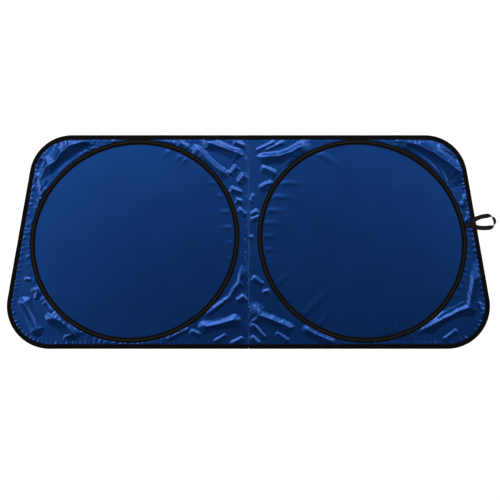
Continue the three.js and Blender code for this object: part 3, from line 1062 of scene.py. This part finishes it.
    def _soften(self, cloth: bpy.types.Object) -> None:
        """Gives the slack cloth its simulation.

        Args:
            cloth: The slack cloth.
        """
        modifier = cloth.modifiers.new("Cloth", "CLOTH")
        settings = modifier.settings
        settings.quality = 6
        settings.mass = 0.1
        settings.air_damping = 2
        settings.tension_stiffness = 40
        settings.compression_stiffness = 40
        settings.shear_stiffness = 20
        settings.bending_stiffness = self.bending
        settings.tension_damping = 8
        settings.compression_damping = 8
        settings.shear_damping = 8
        settings.effector_weights.gravity = self.weight
        settings.vertex_group_mass = "held"
        settings.vertex_group_shrink = "gathered"
        settings.shrink_min = -self.slack
        settings.shrink_max = -self.gather
        modifier.collision_settings.distance_min = self.contact
        modifier.collision_settings.use_self_collision = False
        modifier.point_cache.frame_start = 1
        modifier.point_cache.frame_end = self.frames

    def _settle(self, start: np.ndarray, triangles: np.ndarray, free: np.ndarray) -> np.ndarray:
        """Lets the slack cloth buckle and settle on the floor, held at its sewn lines.

        Args:
            start: Every point's place before, with the folds as laid.
            triangles: The half's triangles.
            free: Which points may move.

        Returns:
            Every point's place once settled.
        """
        used = triangles[free[triangles].any(axis=1)]
        corners = np.unique(used)
        renumbered = np.full(len(start), -1)
        renumbered[corners] = np.arange(len(corners))
        cloth = mesh_object("slack cloth", start[corners], renumbered[used])
        self._mark(cloth, start[corners, :2], renumbered[corners[~free[corners]]].tolist())
        ground = level_square("ground", 1.0, self.ground)
        ground.modifiers.new("Collision", "COLLISION")
        ground.collision.thickness_outer = self.contact
        ground.collision.cloth_friction = 8
        self._soften(cloth)
        scene = bpy.context.scene
        for frame_number in range(1, self.frames + 1):
            scene.frame_set(frame_number)
        shape = cloth.evaluated_get(bpy.context.evaluated_depsgraph_get())
        settled = np.zeros(len(corners) * 3, np.float32)
        shape.data.vertices.foreach_get("co", settled)
        settled = settled.reshape(-1, 3)
        scene.frame_set(1)
        for thing in (cloth, ground):
            bpy.data.objects.remove(thing)
        result = start.copy()
        result[corners] = settled
        result[~free] = start[~free]
        low, high = settled[:, 2].min() / MM, settled[:, 2].max() / MM
        LOG.info("%s cloth settled between %.1f and %.1f mm", self.side.word, low, high)
        return result

    def build(self, finish: CoatedCloth) -> bpy.types.Object:
        """Makes the panel and dresses it.

        Args:
            finish: The cloth's finish.

        Returns:
            The panel.
        """
        plan, triangles, free = self._plan()
        places = np.column_stack([plan, self._seam_height(plan)])
        disc = inside(plan, self._loops()["inner"])
        shown = smooth(from_hoop(plan[disc], -HoopTape.inner), *self.pucker_start)
        places[disc, 2] += self._laid(plan[disc], self.puckers) * shown
        tucked = smooth(self._from_tape(plan[free]), 0, self.tuck)
        places[free, 2] += self._laid(plan[free], self.folds) * tucked
        places = self._settle(places, triangles, free)
        web = free & (plan[:, 0] > self.tongue)
        places[web, 2] = self._gathered(plan[web], places[web, 2])
        if self.side is Side.RIGHT:
            over = (plan[:, 0] < self.tongue + self.hem_gap) & free
            places[over, 2] = np.maximum(places[over, 2], self.stitch_height)
        row = np.abs(plan[:, 0] - self.stitch_row) < self.hem_gap / 2
        self.sewn = places[row][np.argsort(places[row, 1])] + (0, 0, self.thread_lift)
        places, triangles = cloth_sheet(places, triangles, self.thickness)
        places[:, 0] *= self.side.value
        if self.side is Side.LEFT:
            triangles = triangles[:, ::-1]
        word = self.side.word
        panel = mesh_object(f"{word}_cloth", places, triangles)
        dress(panel, finish.material(f"{word} coated cloth"), (f"{word}_panel",))
        return panel


def bake(thing: bpy.types.Object) -> None:
    """Turns a piece's modifiers into its plain mesh.

    Args:
        thing: The piece.
    """
    shape = thing.evaluated_get(bpy.context.evaluated_depsgraph_get())
    mesh = bpy.data.meshes.new_from_object(shape)
    old = thing.data
    thing.modifiers.clear()
    thing.data = mesh
    bpy.data.meshes.remove(old)
    thing.data.shade_smooth()


def cloth_sheet(
    places: np.ndarray, triangles: np.ndarray, thickness: float, curve: float = 0.75
) -> tuple[np.ndarray, np.ndarray]:
    """Gives a cloth its thickness, with a top four times as fine as the underside.

    Args:
        places: The cloth's points.
        triangles: Its triangles, seen from above.
        thickness: How far the underside lies below.
        curve: How far the top's new points move to the tangent planes of their edge's ends.

    Returns:
        The points and triangles of the closed sheet.
    """
    faces = places[triangles]
    across = np.cross(faces[:, 1] - faces[:, 0], faces[:, 2] - faces[:, 0])
    normals = np.zeros_like(places)
    for k in range(3):
        np.add.at(normals, triangles[:, k], across)
    normals /= np.maximum(np.linalg.norm(normals, axis=1, keepdims=True), 1e-12)
    directed = np.vstack([triangles[:, [0, 1]], triangles[:, [1, 2]], triangles[:, [2, 0]]])
    pairs, which, uses = np.unique(np.sort(directed, axis=1), axis=0, return_inverse=True, return_counts=True)
    which = which.ravel()
    a, b = places[pairs[:, 0]], places[pairs[:, 1]]
    middle = (a + b) / 2
    bent = np.zeros_like(middle)
    for end, number in ((a, pairs[:, 0]), (b, pairs[:, 1])):
        normal = normals[number]
        bent += (middle - np.sum((middle - end) * normal, axis=1, keepdims=True) * normal) / 2
    middle += (bent - middle) * curve
    count = len(triangles)
    ab, bc, ca = (which[k * count : (k + 1) * count] + len(places) for k in range(3))
    p, q, r = triangles.T
    top = [np.column_stack(t) for t in ((p, ab, ca), (ab, q, bc), (ca, bc, r), (ab, bc, ca))]
    below = len(places) + len(middle)
    start, end = directed[uses[which] == 1].T
    between = which[uses[which] == 1] + len(places)
    wall = [
        np.column_stack([between, start, start + below]),
        np.column_stack([end, between, end + below]),
        np.column_stack([between, start + below, end + below]),
    ]
    points = np.vstack([places, middle, places - normals * thickness])
    return points, np.vstack([*top, triangles[:, ::-1] + below, *wall])


def skin(name: str, rings: np.ndarray, closed: bool) -> bpy.types.Object:
    """Joins rings of points into a closed body.

    Args:
        name: The piece's name.
        rings: The rings, each with the same number of points that run round a closed outline.
        closed: Whether the last ring joins the first, and otherwise both are capped.

    Returns:
        The piece, with its UV in metres along the rings' middle line (U) and round the first ring (V).
    """
    count, size = rings.shape[:2]
    middles = rings.mean(axis=1)
    ends = np.vstack([middles, middles[:1]]) if closed else middles
    along = np.concatenate([[0], np.cumsum(np.linalg.norm(np.diff(ends, axis=0), axis=1))])
    first = np.vstack([rings[0], rings[0, :1]])
    about = np.concatenate([[0], np.cumsum(np.linalg.norm(np.diff(first, axis=0), axis=1))])
    faces: list[tuple[int, ...]] = []
    uv: list[tuple[float, float]] = []
    for i in range(count if closed else count - 1):
        j = (i + 1) % count
        for k in range(size):
            m = (k + 1) % size
            faces.append((i * size + k, i * size + m, j * size + m, j * size + k))
            uv += [(along[i], about[k]), (along[i], about[k + 1])]
            uv += [(along[i + 1], about[k + 1]), (along[i + 1], about[k])]
    if not closed:
        last = (count - 1) * size
        faces += [tuple(range(size))[::-1], tuple(range(last, last + size))]
        uv += [(0, 0)] * (2 * size)
    thing = mesh_object(name, rings.reshape(-1, 3), faces, np.array(uv))
    outward(thing)
    return thing


def sweep(
    name: str, points: np.ndarray, outs: np.ndarray, section: Callable[[int], np.ndarray], closed: bool
) -> bpy.types.Object:
    """Carries a section along a line on plan.

    Args:
        name: The piece's name.
        points: The line's points on plan.
        outs: Their outward directions.
        section: Gives the section at a point's number, as pairs (outwards, up) that run round its closed
            outline.
        closed: Whether the line closes on itself.

    Returns:
        The piece.
    """
    profiles = np.array([section(i) for i in range(len(points))])
    rings = np.empty((*profiles.shape[:2], 3))
    rings[:, :, :2] = points[:, None] + outs[:, None] * profiles[:, :, :1]
    rings[:, :, 2] = profiles[:, :, 1]
    return skin(name, rings, closed)


def outward(thing: bpy.types.Object) -> None:
    """Turns a closed piece's faces outwards.

    Args:
        thing: The piece.
    """
    mesh = thing.data
    mesh.calc_loop_triangles()
    places = np.zeros(len(mesh.vertices) * 3)
    mesh.vertices.foreach_get("co", places)
    places = places.reshape(-1, 3)
    triangles = np.zeros(len(mesh.loop_triangles) * 3, np.int32)
    mesh.loop_triangles.foreach_get("vertices", triangles)
    a, b, c = (places[triangles.reshape(-1, 3)[:, k]] for k in range(3))
    if np.sum(a * np.cross(b, c)) < 0:
        mesh.flip_normals()


@dataclass
class HoopTape:
    """The black tape over one hoop: sewn flat at both sides and arched over the wire."""

    side: Side
    inner: float = 9 * MM
    seat: float = 0.05 * MM
    rise: float = 4.2 * MM
    arch: float = 3.4 * MM
    arch_power: float = 2.6
    thin_edge: float = 0.35
    facets: int = 24
    lower_step: int = 4
    stations: int = 420
    sway: float = 0.35 * MM
    waves: tuple[int, ...] = (7, 13, 29, 47, 83, 131)
    seed: int = 11

    def _section(self) -> np.ndarray:
        """Draws the tape's section: flat feet and a round arch, with its thickness.

        Returns:
            Pairs (outwards, up) that run round it.
        """
        base = LAYOUT.cloth_top + self.seat
        thick = LAYOUT.tape_thickness
        across = np.linspace(-self.inner, LAYOUT.tape_width / 2, self.facets + 1)
        arch = self.rise * np.exp(-((np.abs(across) / self.arch) ** self.arch_power))
        upper = np.stack([across, base + thick + np.maximum(0, arch - thick)], axis=1)
        upper[[0, -1], 1] -= thick * self.thin_edge
        lower = np.stack([across[::-1], np.full(len(across), base)], axis=1)
        return np.vstack([upper, lower[:: self.lower_step]])

    def build(self, finish: WovenTape) -> bpy.types.Object:
        """Makes the tape and dresses it.

        Args:
            finish: The tape's finish.

        Returns:
            The tape.
        """
        turn = np.arange(self.stations) * TURN / self.stations
        points, outs = LAYOUT.hoop(turn, 0)
        profile = self._section()
        rng = np.random.default_rng(self.seed + self.side.value)
        phases = rng.uniform(0, TURN, len(self.waves))
        waver = sum(np.sin(turn * n + p) / (k + 2) for k, (n, p) in enumerate(zip(self.waves, phases)))
        mirror = (self.side.value, 1)
        points = (points + outs * (waver * self.sway)[:, None]) * mirror
        word = self.side.word
        tape = sweep(f"{word}_hoop_channel", points, outs * mirror, lambda _: profile, True)
        dress(tape, finish.material(f"{word} hoop tape"), (f"{word}_hoop_tape",))
        return tape


@dataclass
class EdgeBinding:
    """The folded tape round the whole edge, plumper over the seam, its ends meeting at the seam's foot."""

    width: float = 13.8 * MM
    pitch: float = 5 * MM
    inset: float = 0.9 * MM
    end_gap: float = 0.5 * MM
    crown: float = 0.35 * MM
    shoulder: float = 0.45 * MM
    facets: int = 8
    nose: tuple[tuple[float, float], ...] = (
        (0.5 * MM, 1.8 * MM),
        (0.9 * MM, 1.25 * MM),
        (0.5 * MM, 0.5 * MM),
    )
    underside: float = 0.06 * MM
    seam_puff: float = 0.9 * MM
    puff_width: float = 7 * MM
    unevenness: float = 0.12 * MM
    seed: int = 23

    def top(self, share: np.ndarray) -> np.ndarray:
        """The height of the upper face, at shares of the width from its inner edge."""
        level = LAYOUT.cloth_top + LAYOUT.binding_thickness - self.shoulder
        return level + self.crown * np.sin(math.pi * share)

    def over_seam(self, points: np.ndarray) -> np.ndarray:
        """How much the seam under it lifts the binding at points on plan."""
        return np.exp(-((points[:, 0] / self.puff_width) ** 2)) * self.seam_puff

    def _section(self, puff: float) -> np.ndarray:
        """Draws the folded tape's section.

        Args:
            puff: How far its upper face is raised.

        Returns:
            Pairs (outwards, up) that run round it.
        """
        share = np.linspace(0, 1, self.facets + 1)
        upper = np.stack([-self.width * (1 - share), self.top(share) + puff], axis=1)
        lower = np.stack([-self.width * share, np.full(len(share), self.underside)], axis=1)
        return np.vstack([upper, self.nose, lower])

    def line(self, inset: float) -> tuple[np.ndarray, np.ndarray]:
        """The whole shade's edge from the left of the seam's foot round to its right.

        Args:
            inset: How far inside the binding's outer edge.

        Returns:
            The points and their outward directions.
        """
        right, outs = LAYOUT.edge(inset, self.pitch)
        right[[0, -1], 0] = (0, self.end_gap)
        mirror = np.array([-1, 1])
        return np.vstack([right[::-1] * mirror, right[1:]]), np.vstack([outs[::-1] * mirror, outs[1:]])

    def build(self, finish: WovenTape) -> bpy.types.Object:
        """Makes the binding and dresses it.

        Args:
            finish: The tape's finish.

        Returns:
            The binding.
        """
        points, outs = self.line(self.inset)
        rng = np.random.default_rng(self.seed)
        puffs = rng.normal(0, self.unevenness, len(points))
        puffs = np.convolve(puffs, (0.25, 0.5, 0.25), "same")
        puffs += self.over_seam(points)
        sway = rng.normal(0, 1, len(points))
        sway = np.convolve(sway, np.hanning(9) / 4, "same") * self.unevenness
        points = points + outs * sway[:, None]
        binding = sweep("folded_edge_binding", points, outs, lambda i: self._section(puffs[i]), False)
        dress(binding, finish.material("edge binding tape"), ("edge_binding",))
        return binding


@dataclass
class StrapLoop:
    """The elastic loop: one length that rolls over far out, both ends sewn down beside the right hoop's tape.

    Its path runs outwards and across the loop, as shares of its reach and its spread.
    """

    path: tuple[tuple[float, float], ...] = (
        (0, 0), (0.1, 0.02), (0.22, 0.2), (0.39, 0.45), (0.7, 0.56), (0.9, 0.46), (1, 0.06), (0.94, -0.3),
        (0.83, -0.44), (0.64, -0.43), (0.45, -0.33), (0.26, -0.14), (0.1, -0.02), (0, 0),
    )
    reach: float = 92 * MM
    spread: float = 37 * MM
    seat: float = 1 * MM
    turn: float = 0.0275 * TURN
    lean: float = math.radians(-2.6)
    width: float = 14 * MM
    thickness: float = 1.8 * MM
    roll: float = math.radians(140)
    flat: float = 0.64
    gap: float = 0.3 * MM
    stations: int = 260
    path_steps: int = 40
    ribs: int = 9
    rib_height: float = 0.13 * MM
    selvedge: tuple[float, float] = (9, 0.06)

    def _line(self) -> np.ndarray:
        """Draws the strap's middle line as one smooth curve.

        Returns:
            Evenly spaced points along it, outwards and across the loop.
        """
        knots = np.array(self.path) * (self.reach, self.spread)
        before = 2 * knots[0] - knots[1]
        after = 2 * knots[-1] - knots[-2]
        knots = np.vstack([before, knots, after])
        dense: list[np.ndarray] = []
        for a, b, c, d in zip(knots, knots[1:], knots[2:], knots[3:]):
            steps = [math.sqrt(float(np.linalg.norm(q - p))) for p, q in ((a, b), (b, c), (c, d))]
            t = np.cumsum([0] + steps)
            for s in np.linspace(t[1], t[2], self.path_steps, endpoint=False):
                ab = a + (b - a) * (s - t[0]) / (t[1] - t[0])
                bc = b + (c - b) * (s - t[1]) / (t[2] - t[1])
                cd = c + (d - c) * (s - t[2]) / (t[3] - t[2])
                abc = ab + (bc - ab) * (s - t[0]) / (t[2] - t[0])
                bcd = bc + (cd - bc) * (s - t[1]) / (t[3] - t[1])
                dense.append(abc + (bcd - abc) * (s - t[1]) / (t[2] - t[1]))
        line = np.array(dense + [knots[-2]])
        reach = np.concatenate([[0], np.cumsum(np.linalg.norm(np.diff(line, axis=0), axis=1))])
        even = np.linspace(0, reach[-1], self.stations)
        return np.stack([np.interp(even, reach, line[:, k]) for k in (0, 1)], axis=1)

    def _footing(self, out: np.ndarray) -> np.ndarray:
        """The height of what the strap lies on: the cloth, then the binding, then the floor.

        Args:
            out: How far out from the strap's sewn ends.

        Returns:
            The height at each.
        """
        on_cloth = LAYOUT.cloth_top + self.gap
        web = LAYOUT.side_web
        past = web + LAYOUT.binding_width
        climb = smooth(out, web / 2, web - self.gap)
        drop = smooth(out, past + self.thickness, past + self.width)
        return (on_cloth + LAYOUT.binding_thickness * climb) * (1 - drop)

    def _profile(self) -> np.ndarray:
        """Draws the ribbed section, with soft selvedges.

        Returns:
            Pairs (across the strap, through it) that run round it.
        """
        power, least = self.selvedge
        share = np.linspace(-1, 1, self.ribs * 4 + 1)
        soft = np.sqrt(np.clip(1 - np.abs(share) ** power, least, 1))
        ribs = self.rib_height * (np.cos(share * math.pi * self.ribs) - 1) / 2
        half = (self.thickness / 2 + ribs) * soft
        across = share * self.width / 2
        return np.vstack([np.stack([across, half], 1), np.stack([across[::-1], -half[::-1]], 1)])

    def _lie(self) -> tuple[np.ndarray, np.ndarray, np.ndarray]:
        """Works out how the strap lies, in its own outward frame.

        Returns:
            Its middle line's points, how far it has rolled over at each, and each one's height.
        """
        line = self._line()
        share = np.linspace(0, 1, self.stations)
        ease = np.clip((1 - np.abs(2 * share - 1) - self.flat) / (1 - self.flat), 0, 1)
        roll = self.roll * ease**3 * (ease * (ease * 6 - 15) + 10)
        web, width = LAYOUT.side_web, LAYOUT.binding_width
        on_top = np.where(share < 0.5, 1 - smooth(line[:, 0], web, web + width), 0)
        half = (self.width * np.sin(roll) + self.thickness * np.abs(np.cos(roll))) / 2
        height = self._footing(line[:, 0]) + half + on_top * (self.thickness + self.gap)
        return line, roll, height

    def place(self, local: np.ndarray) -> np.ndarray:
        """Turns points of the strap's outward frame into the shade's.

        Args:
            local: The points.

        Returns:
            Their places in the shade's frame.
        """
        point, out = LAYOUT.hoop(np.array([self.turn]), LAYOUT.tape_width / 2 + self.seat)
        angle = math.atan2(out[0, 1], out[0, 0]) + self.lean
        way = np.array([math.cos(angle), math.sin(angle)])
        side = np.array([-way[1], way[0]])
        placed = local.copy()
        placed[..., :2] = point[0] + local[..., :1] * way + local[..., 1:2] * side
        return placed

    def build(self, finish: WovenTape) -> bpy.types.Object:
        """Makes the strap and dresses it.

        Args:
            finish: The elastic's finish.

        Returns:
            The strap.
        """
        line, roll, height = self._lie()
        along = np.gradient(line, axis=0)
        along /= np.linalg.norm(along, axis=1, keepdims=True)
        along = np.column_stack([along, np.zeros(len(line))])
        up = np.array([0.0, 0.0, 1.0])
        across = np.cross(up, along) * np.cos(roll)[:, None] + up * np.sin(roll)[:, None]
        face = np.cross(along, across)
        middle = np.column_stack([line, height])
        profile = self._profile()
        rings = middle[:, None] + across[:, None] * profile[:, :1] + face[:, None] * profile[:, 1:]
        strap = skin("elastic_strap", self.place(rings), False)
        dress(strap, finish.material("ribbed elastic"), ("strap_loop",))
        return strap


@dataclass
class Stitching:
    """Rows of lockstitch laid along lines by Geometry Nodes."""

    pitch: float = 3.8 * MM
    length: float = 3.0 * MM
    width: float = 0.55 * MM
    depth: float = 0.4 * MM
    blunt_end: float = 0.02
    unevenness: float = 0.15
    stations: int = 7
    sides: int = 6
    seed: int = 3

    def _tree(self, stitch: bpy.types.Object, material: bpy.types.Material) -> bpy.types.NodeTree:
        """Builds the node tree that sets a stitch at every pitch along the lines it is given.

        Args:
            stitch: One stitch.
            material: The thread's material.

        Returns:
            The tree, with Pitch and Unevenness inputs.
        """
        tree = bpy.data.node_groups.new("stitch rows", "GeometryNodeTree")
        for name, kind in (("Geometry", "Geometry"), ("Pitch", "Float"), ("Unevenness", "Float")):
            tree.interface.new_socket(name, in_out="INPUT", socket_type=f"NodeSocket{kind}")
        tree.interface.new_socket("Geometry", in_out="OUTPUT", socket_type="NodeSocketGeometry")
        wiring = Wiring(tree)
        given = wiring.add("NodeGroupInput").outputs
        line = wiring.add("GeometryNodeMeshToCurve", {"Mesh": given["Geometry"]}).outputs["Curve"]
        spacing = {"Curve": line, "Length": given["Pitch"]}
        even = wiring.add("GeometryNodeResampleCurve", spacing, mode="LENGTH").outputs["Curve"]
        way = wiring.add("GeometryNodeInputTangent").outputs["Tangent"]
        turned = wiring.add("FunctionNodeAlignEulerToVector", {"Vector": way}, axis="X").outputs["Rotation"]
        thread = wiring.add("GeometryNodeObjectInfo", {"Object": stitch}).outputs["Geometry"]
        least = wiring.math("SUBTRACT", 1, given["Unevenness"])
        smallest = wiring.add("ShaderNodeCombineXYZ", {axis: least for axis in "XYZ"}).outputs["Vector"]
        sizes = {"Min": smallest, "Max": (1.0, 1.0, 1.0), "Seed": self.seed}
        vary = wiring.add("FunctionNodeRandomValue", sizes, data_type="FLOAT_VECTOR").outputs["Value"]
        laying = {"Points": even, "Rotation": turned, "Instance": thread, "Scale": vary}
        laid = wiring.add("GeometryNodeInstanceOnPoints", laying).outputs["Instances"]
        real = wiring.add("GeometryNodeRealizeInstances", {"Geometry": laid}).outputs["Geometry"]
        painted = wiring.add("GeometryNodeSetMaterial", {"Geometry": real, "Material": material})
        wiring.add("NodeGroupOutput", {"Geometry": painted.outputs["Geometry"]})
        return tree

    def _stitch(self) -> bpy.types.Object:
        """Makes one stitch: a short plump run of thread along X that dips at both ends.

        Returns:
            The stitch.
        """
        share = np.linspace(-1, 1, self.stations)[:, None]
        plump = np.sqrt(np.clip(1 - share**4, self.blunt_end, 1))
        turn = np.arange(self.sides) * TURN / self.sides
        rings = np.empty((self.stations, self.sides, 3))
        rings[:, :, 0] = share * self.length / 2
        rings[:, :, 1] = plump * np.cos(turn) * self.width / 2
        rings[:, :, 2] = (plump * np.sin(turn) - share**2) * self.depth / 2
        return skin("one stitch", rings, False)

    def build(
        self, name: str, lines: list[np.ndarray], material: bpy.types.Material, slot: str
    ) -> bpy.types.Object:
        """Sews along lines.

        Args:
            name: The piece's name.
            lines: Runs of places, each an open line.
            material: The thread's material.
            slot: Not used.

        Returns:
            The rows of stitches, as one plain mesh.
        """
        edges: list[tuple[int, int]] = []
        start = 0
        for line in lines:
            edges += [(start + i, start + i + 1) for i in range(len(line) - 1)]
            start += len(line)
        mesh = bpy.data.meshes.new(name)
        mesh.from_pydata(np.vstack(lines).tolist(), edges, [])
        rows = bpy.data.objects.new(name, mesh)
        bpy.context.scene.collection.objects.link(rows)
        stitch = self._stitch()
        tree = self._tree(stitch, material)
        modifier = rows.modifiers.new("Stitches", "NODES")
        modifier.node_group = tree
        values = {"Pitch": self.pitch, "Unevenness": self.unevenness}
        for item in tree.interface.items_tree:
            if item.in_out == "INPUT" and item.name in values:
                modifier[item.identifier] = values[item.name]
        bake(rows)
        bpy.data.objects.remove(stitch)
        dress(rows, material)
        return rows


@dataclass
class Sewing:
    """All the visible thread: on the hoop tapes, the binding, the seam and the strap's ends."""

    seam_row: np.ndarray
    hoop_steps: int = 720
    tape_seat: float = 1.6 * MM
    binding_seat: float = 2.2 * MM
    lift: float = 0.1 * MM
    tack_lift: float = 0.05 * MM
    tack_rows: tuple[float, ...] = (2 * MM, 3.2 * MM, 6.5 * MM)
    tack_width: float = 0.84
    tack_steps: int = 24
    tack_pitch: float = 1.3 * MM
    tack_length: float = 1.5 * MM

    def _hoop_rows(self, side: Side) -> list[np.ndarray]:
        """Runs along both sides of a hoop's tape.

        Args:
            side: The half of the shade.

        Returns:
            The inner row and the outer one.
        """
        turn = np.linspace(0, TURN, self.hoop_steps)
        height = np.full(len(turn), LAYOUT.cloth_top + LAYOUT.tape_thickness + self.lift)
        offsets = (self.tape_seat - HoopTape.inner, LAYOUT.tape_width / 2 - self.tape_seat)
        lines = (LAYOUT.hoop(turn, offset)[0] * (side.value, 1) for offset in offsets)
        return [np.column_stack([line, height]) for line in lines]

    def _binding_row(self) -> np.ndarray:
        """Runs along the binding's inner edge.

        Returns:
            The row.
        """
        binding = EdgeBinding()
        line = binding.line(binding.width - self.binding_seat)[0]
        height = float(binding.top(np.array([self.binding_seat / binding.width]))[0]) + self.lift
        return np.column_stack([line, height + binding.over_seam(line)])

    def _tacks(self) -> list[np.ndarray]:
        """Runs to and fro across the strap's two ends.

        Returns:
            The rows.
        """
        strap = StrapLoop()
        top = LAYOUT.cloth_top + 2 * (strap.gap + strap.thickness) + self.tack_lift
        across = np.linspace(-0.5, 0.5, self.tack_steps) * self.tack_width * strap.width
        level = np.ones(len(across))
        rows = (np.column_stack([out * level, across, top * level]) for out in self.tack_rows)
        return [strap.place(row) for row in rows]

    def build(self, finish: Thread) -> None:
        """Sews everything down.

        Args:
            finish: The thread's finish.
        """
        stitching = Stitching()
        thread = finish.material("black thread")
        for side in Side:
            stitching.build(f"{side.word}_hoop_stitching", self._hoop_rows(side), thread, "hoop_tape")
        stitching.build("binding_stitching", [self._binding_row()], thread, "binding_tape")
        stitching.build("seam_stitching", [self.seam_row], thread, "binding_tape")
        tack = Stitching(pitch=self.tack_pitch, length=self.tack_length)
        tack.build("strap_bar_tack", self._tacks(), thread, "elastic")


def dress_steel(finish: SpringSteel) -> None:
    """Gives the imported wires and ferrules, hidden in their channels, the steel's material.

    Args:
        finish: The steel's finish.
    """
    material = finish.material("spring steel")
    for side in Side:
        for part in ("hoop_wire", "hoop_ferrule"):
            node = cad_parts[f"{side.word}_{part}"]
            node.data.materials.clear()
            node.data.materials.append(material)


@dataclass(frozen=True)
class Lamp:
    """A soft rectangular lamp turned to the middle of the shade."""

    name: str
    place: tuple[float, float, float]
    size: tuple[float, float]
    watts: float

    def hang(self) -> None:
        """Adds the lamp to the scene."""
        data = bpy.data.lights.new(self.name, "AREA")
        data.shape = "RECTANGLE"
        data.size, data.size_y = self.size
        data.energy = self.watts
        lamp = bpy.data.objects.new(self.name, data)
        lamp.location = self.place
        lamp.rotation_euler = (-Vector(self.place)).to_track_quat("-Z", "Y").to_euler()
        bpy.context.scene.collection.objects.link(lamp)


@dataclass
class Studio:
    """The pale floor, the soft lights and the camera straight above."""

    image_pixels: float = 500
    metres_per_pixel: float = 3.106 * MM
    middle_pixel: tuple[float, float] = (248.4, 242)
    lens: float = 100
    sensor: float = 36
    view_depth: float = 50
    floor_half: float = 6.0
    floor_glow: float = 0.8
    room_light: float = 0.035
    lamps: tuple[Lamp, ...] = (
        Lamp("key lamp", (-0.45, 2.0, 3.05), (3.6, 1.4), 44),
        Lamp("right lamp", (2.3, 1.0, 2.8), (0.9, 2.2), 13),
        Lamp("left lamp", (-2.6, 0.0, 2.7), (0.9, 2.2), 14),
    )

    def _camera(self) -> None:
        """Looks straight down, framed as the photograph is."""
        across = self.image_pixels * self.metres_per_pixel
        centre = self.image_pixels / 2
        x = (centre - self.middle_pixel[0]) * self.metres_per_pixel
        y = (self.middle_pixel[1] - centre) * self.metres_per_pixel
        data = bpy.data.cameras.new("camera")
        data.lens = self.lens
        data.sensor_width = self.sensor
        data.clip_end = self.view_depth
        camera = bpy.data.objects.new("camera", data)
        camera.location = (x, y, across * self.lens / self.sensor)
        bpy.context.scene.collection.objects.link(camera)
        bpy.context.scene.camera = camera

    def _floor(self) -> None:
        """A wide white floor that keeps the shade's soft shadow."""
        floor = level_square("floor", self.floor_half, 0)
        material, wiring, principled = new_material("white floor")
        principled.inputs["Base Color"].default_value = (0.9, 0.9, 0.9, 1)
        principled.inputs["Roughness"].default_value = 0.9
        principled.inputs["Specular IOR Level"].default_value = 0.1
        principled.inputs["Emission Color"].default_value = (1, 1, 1, 1)
        path = wiring.add("ShaderNodeLightPath")
        seen = wiring.math("MAXIMUM", path.outputs["Is Camera Ray"], path.outputs["Is Glossy Ray"])
        seen = wiring.math("MAXIMUM", seen, path.outputs["Is Transmission Ray"])
        glow = wiring.math("MULTIPLY", seen, self.floor_glow)
        wiring.give(principled.inputs["Emission Strength"], glow)
        floor.data.materials.append(material)

    def _light(self) -> None:
        """Soft lamps above and at the sides, and a dim, even room."""
        for lamp in self.lamps:
            lamp.hang()
        world = bpy.data.worlds.new("room")
        world.use_nodes = True
        background = world.node_tree.nodes["Background"]
        background.inputs["Color"].default_value = (1, 1, 1, 1)
        background.inputs["Strength"].default_value = self.room_light
        bpy.context.scene.world = world
        bpy.context.scene.view_settings.view_transform = "Standard"

    def build(self) -> None:
        """Sets up the whole studio."""
        self._camera()
        self._floor()
        self._light()


def main() -> None:
    """Builds the shade piece by piece, then the studio."""
    logging.basicConfig(level=logging.INFO, format="%(name)s: %(message)s")
    Studio().build()
    cloth = CoatedCloth()
    tape = WovenTape()
    panels = {
        Side.LEFT: ClothPanel(Side.LEFT, LEFT_FOLDS, LEFT_PUCKERS),
        Side.RIGHT: ClothPanel(Side.RIGHT, RIGHT_FOLDS, RIGHT_PUCKERS, scallops=0.4),
    }
    for side, panel in panels.items():
        sheet = panel.build(cloth)
        HoopTape(side).build(tape)
    EdgeBinding().build(tape)
    StrapLoop().build(Elastic())
    Sewing(panels[Side.RIGHT].sewn).build(Thread())
    dress_steel(SpringSteel())


if __name__ == "__main__":
    main()
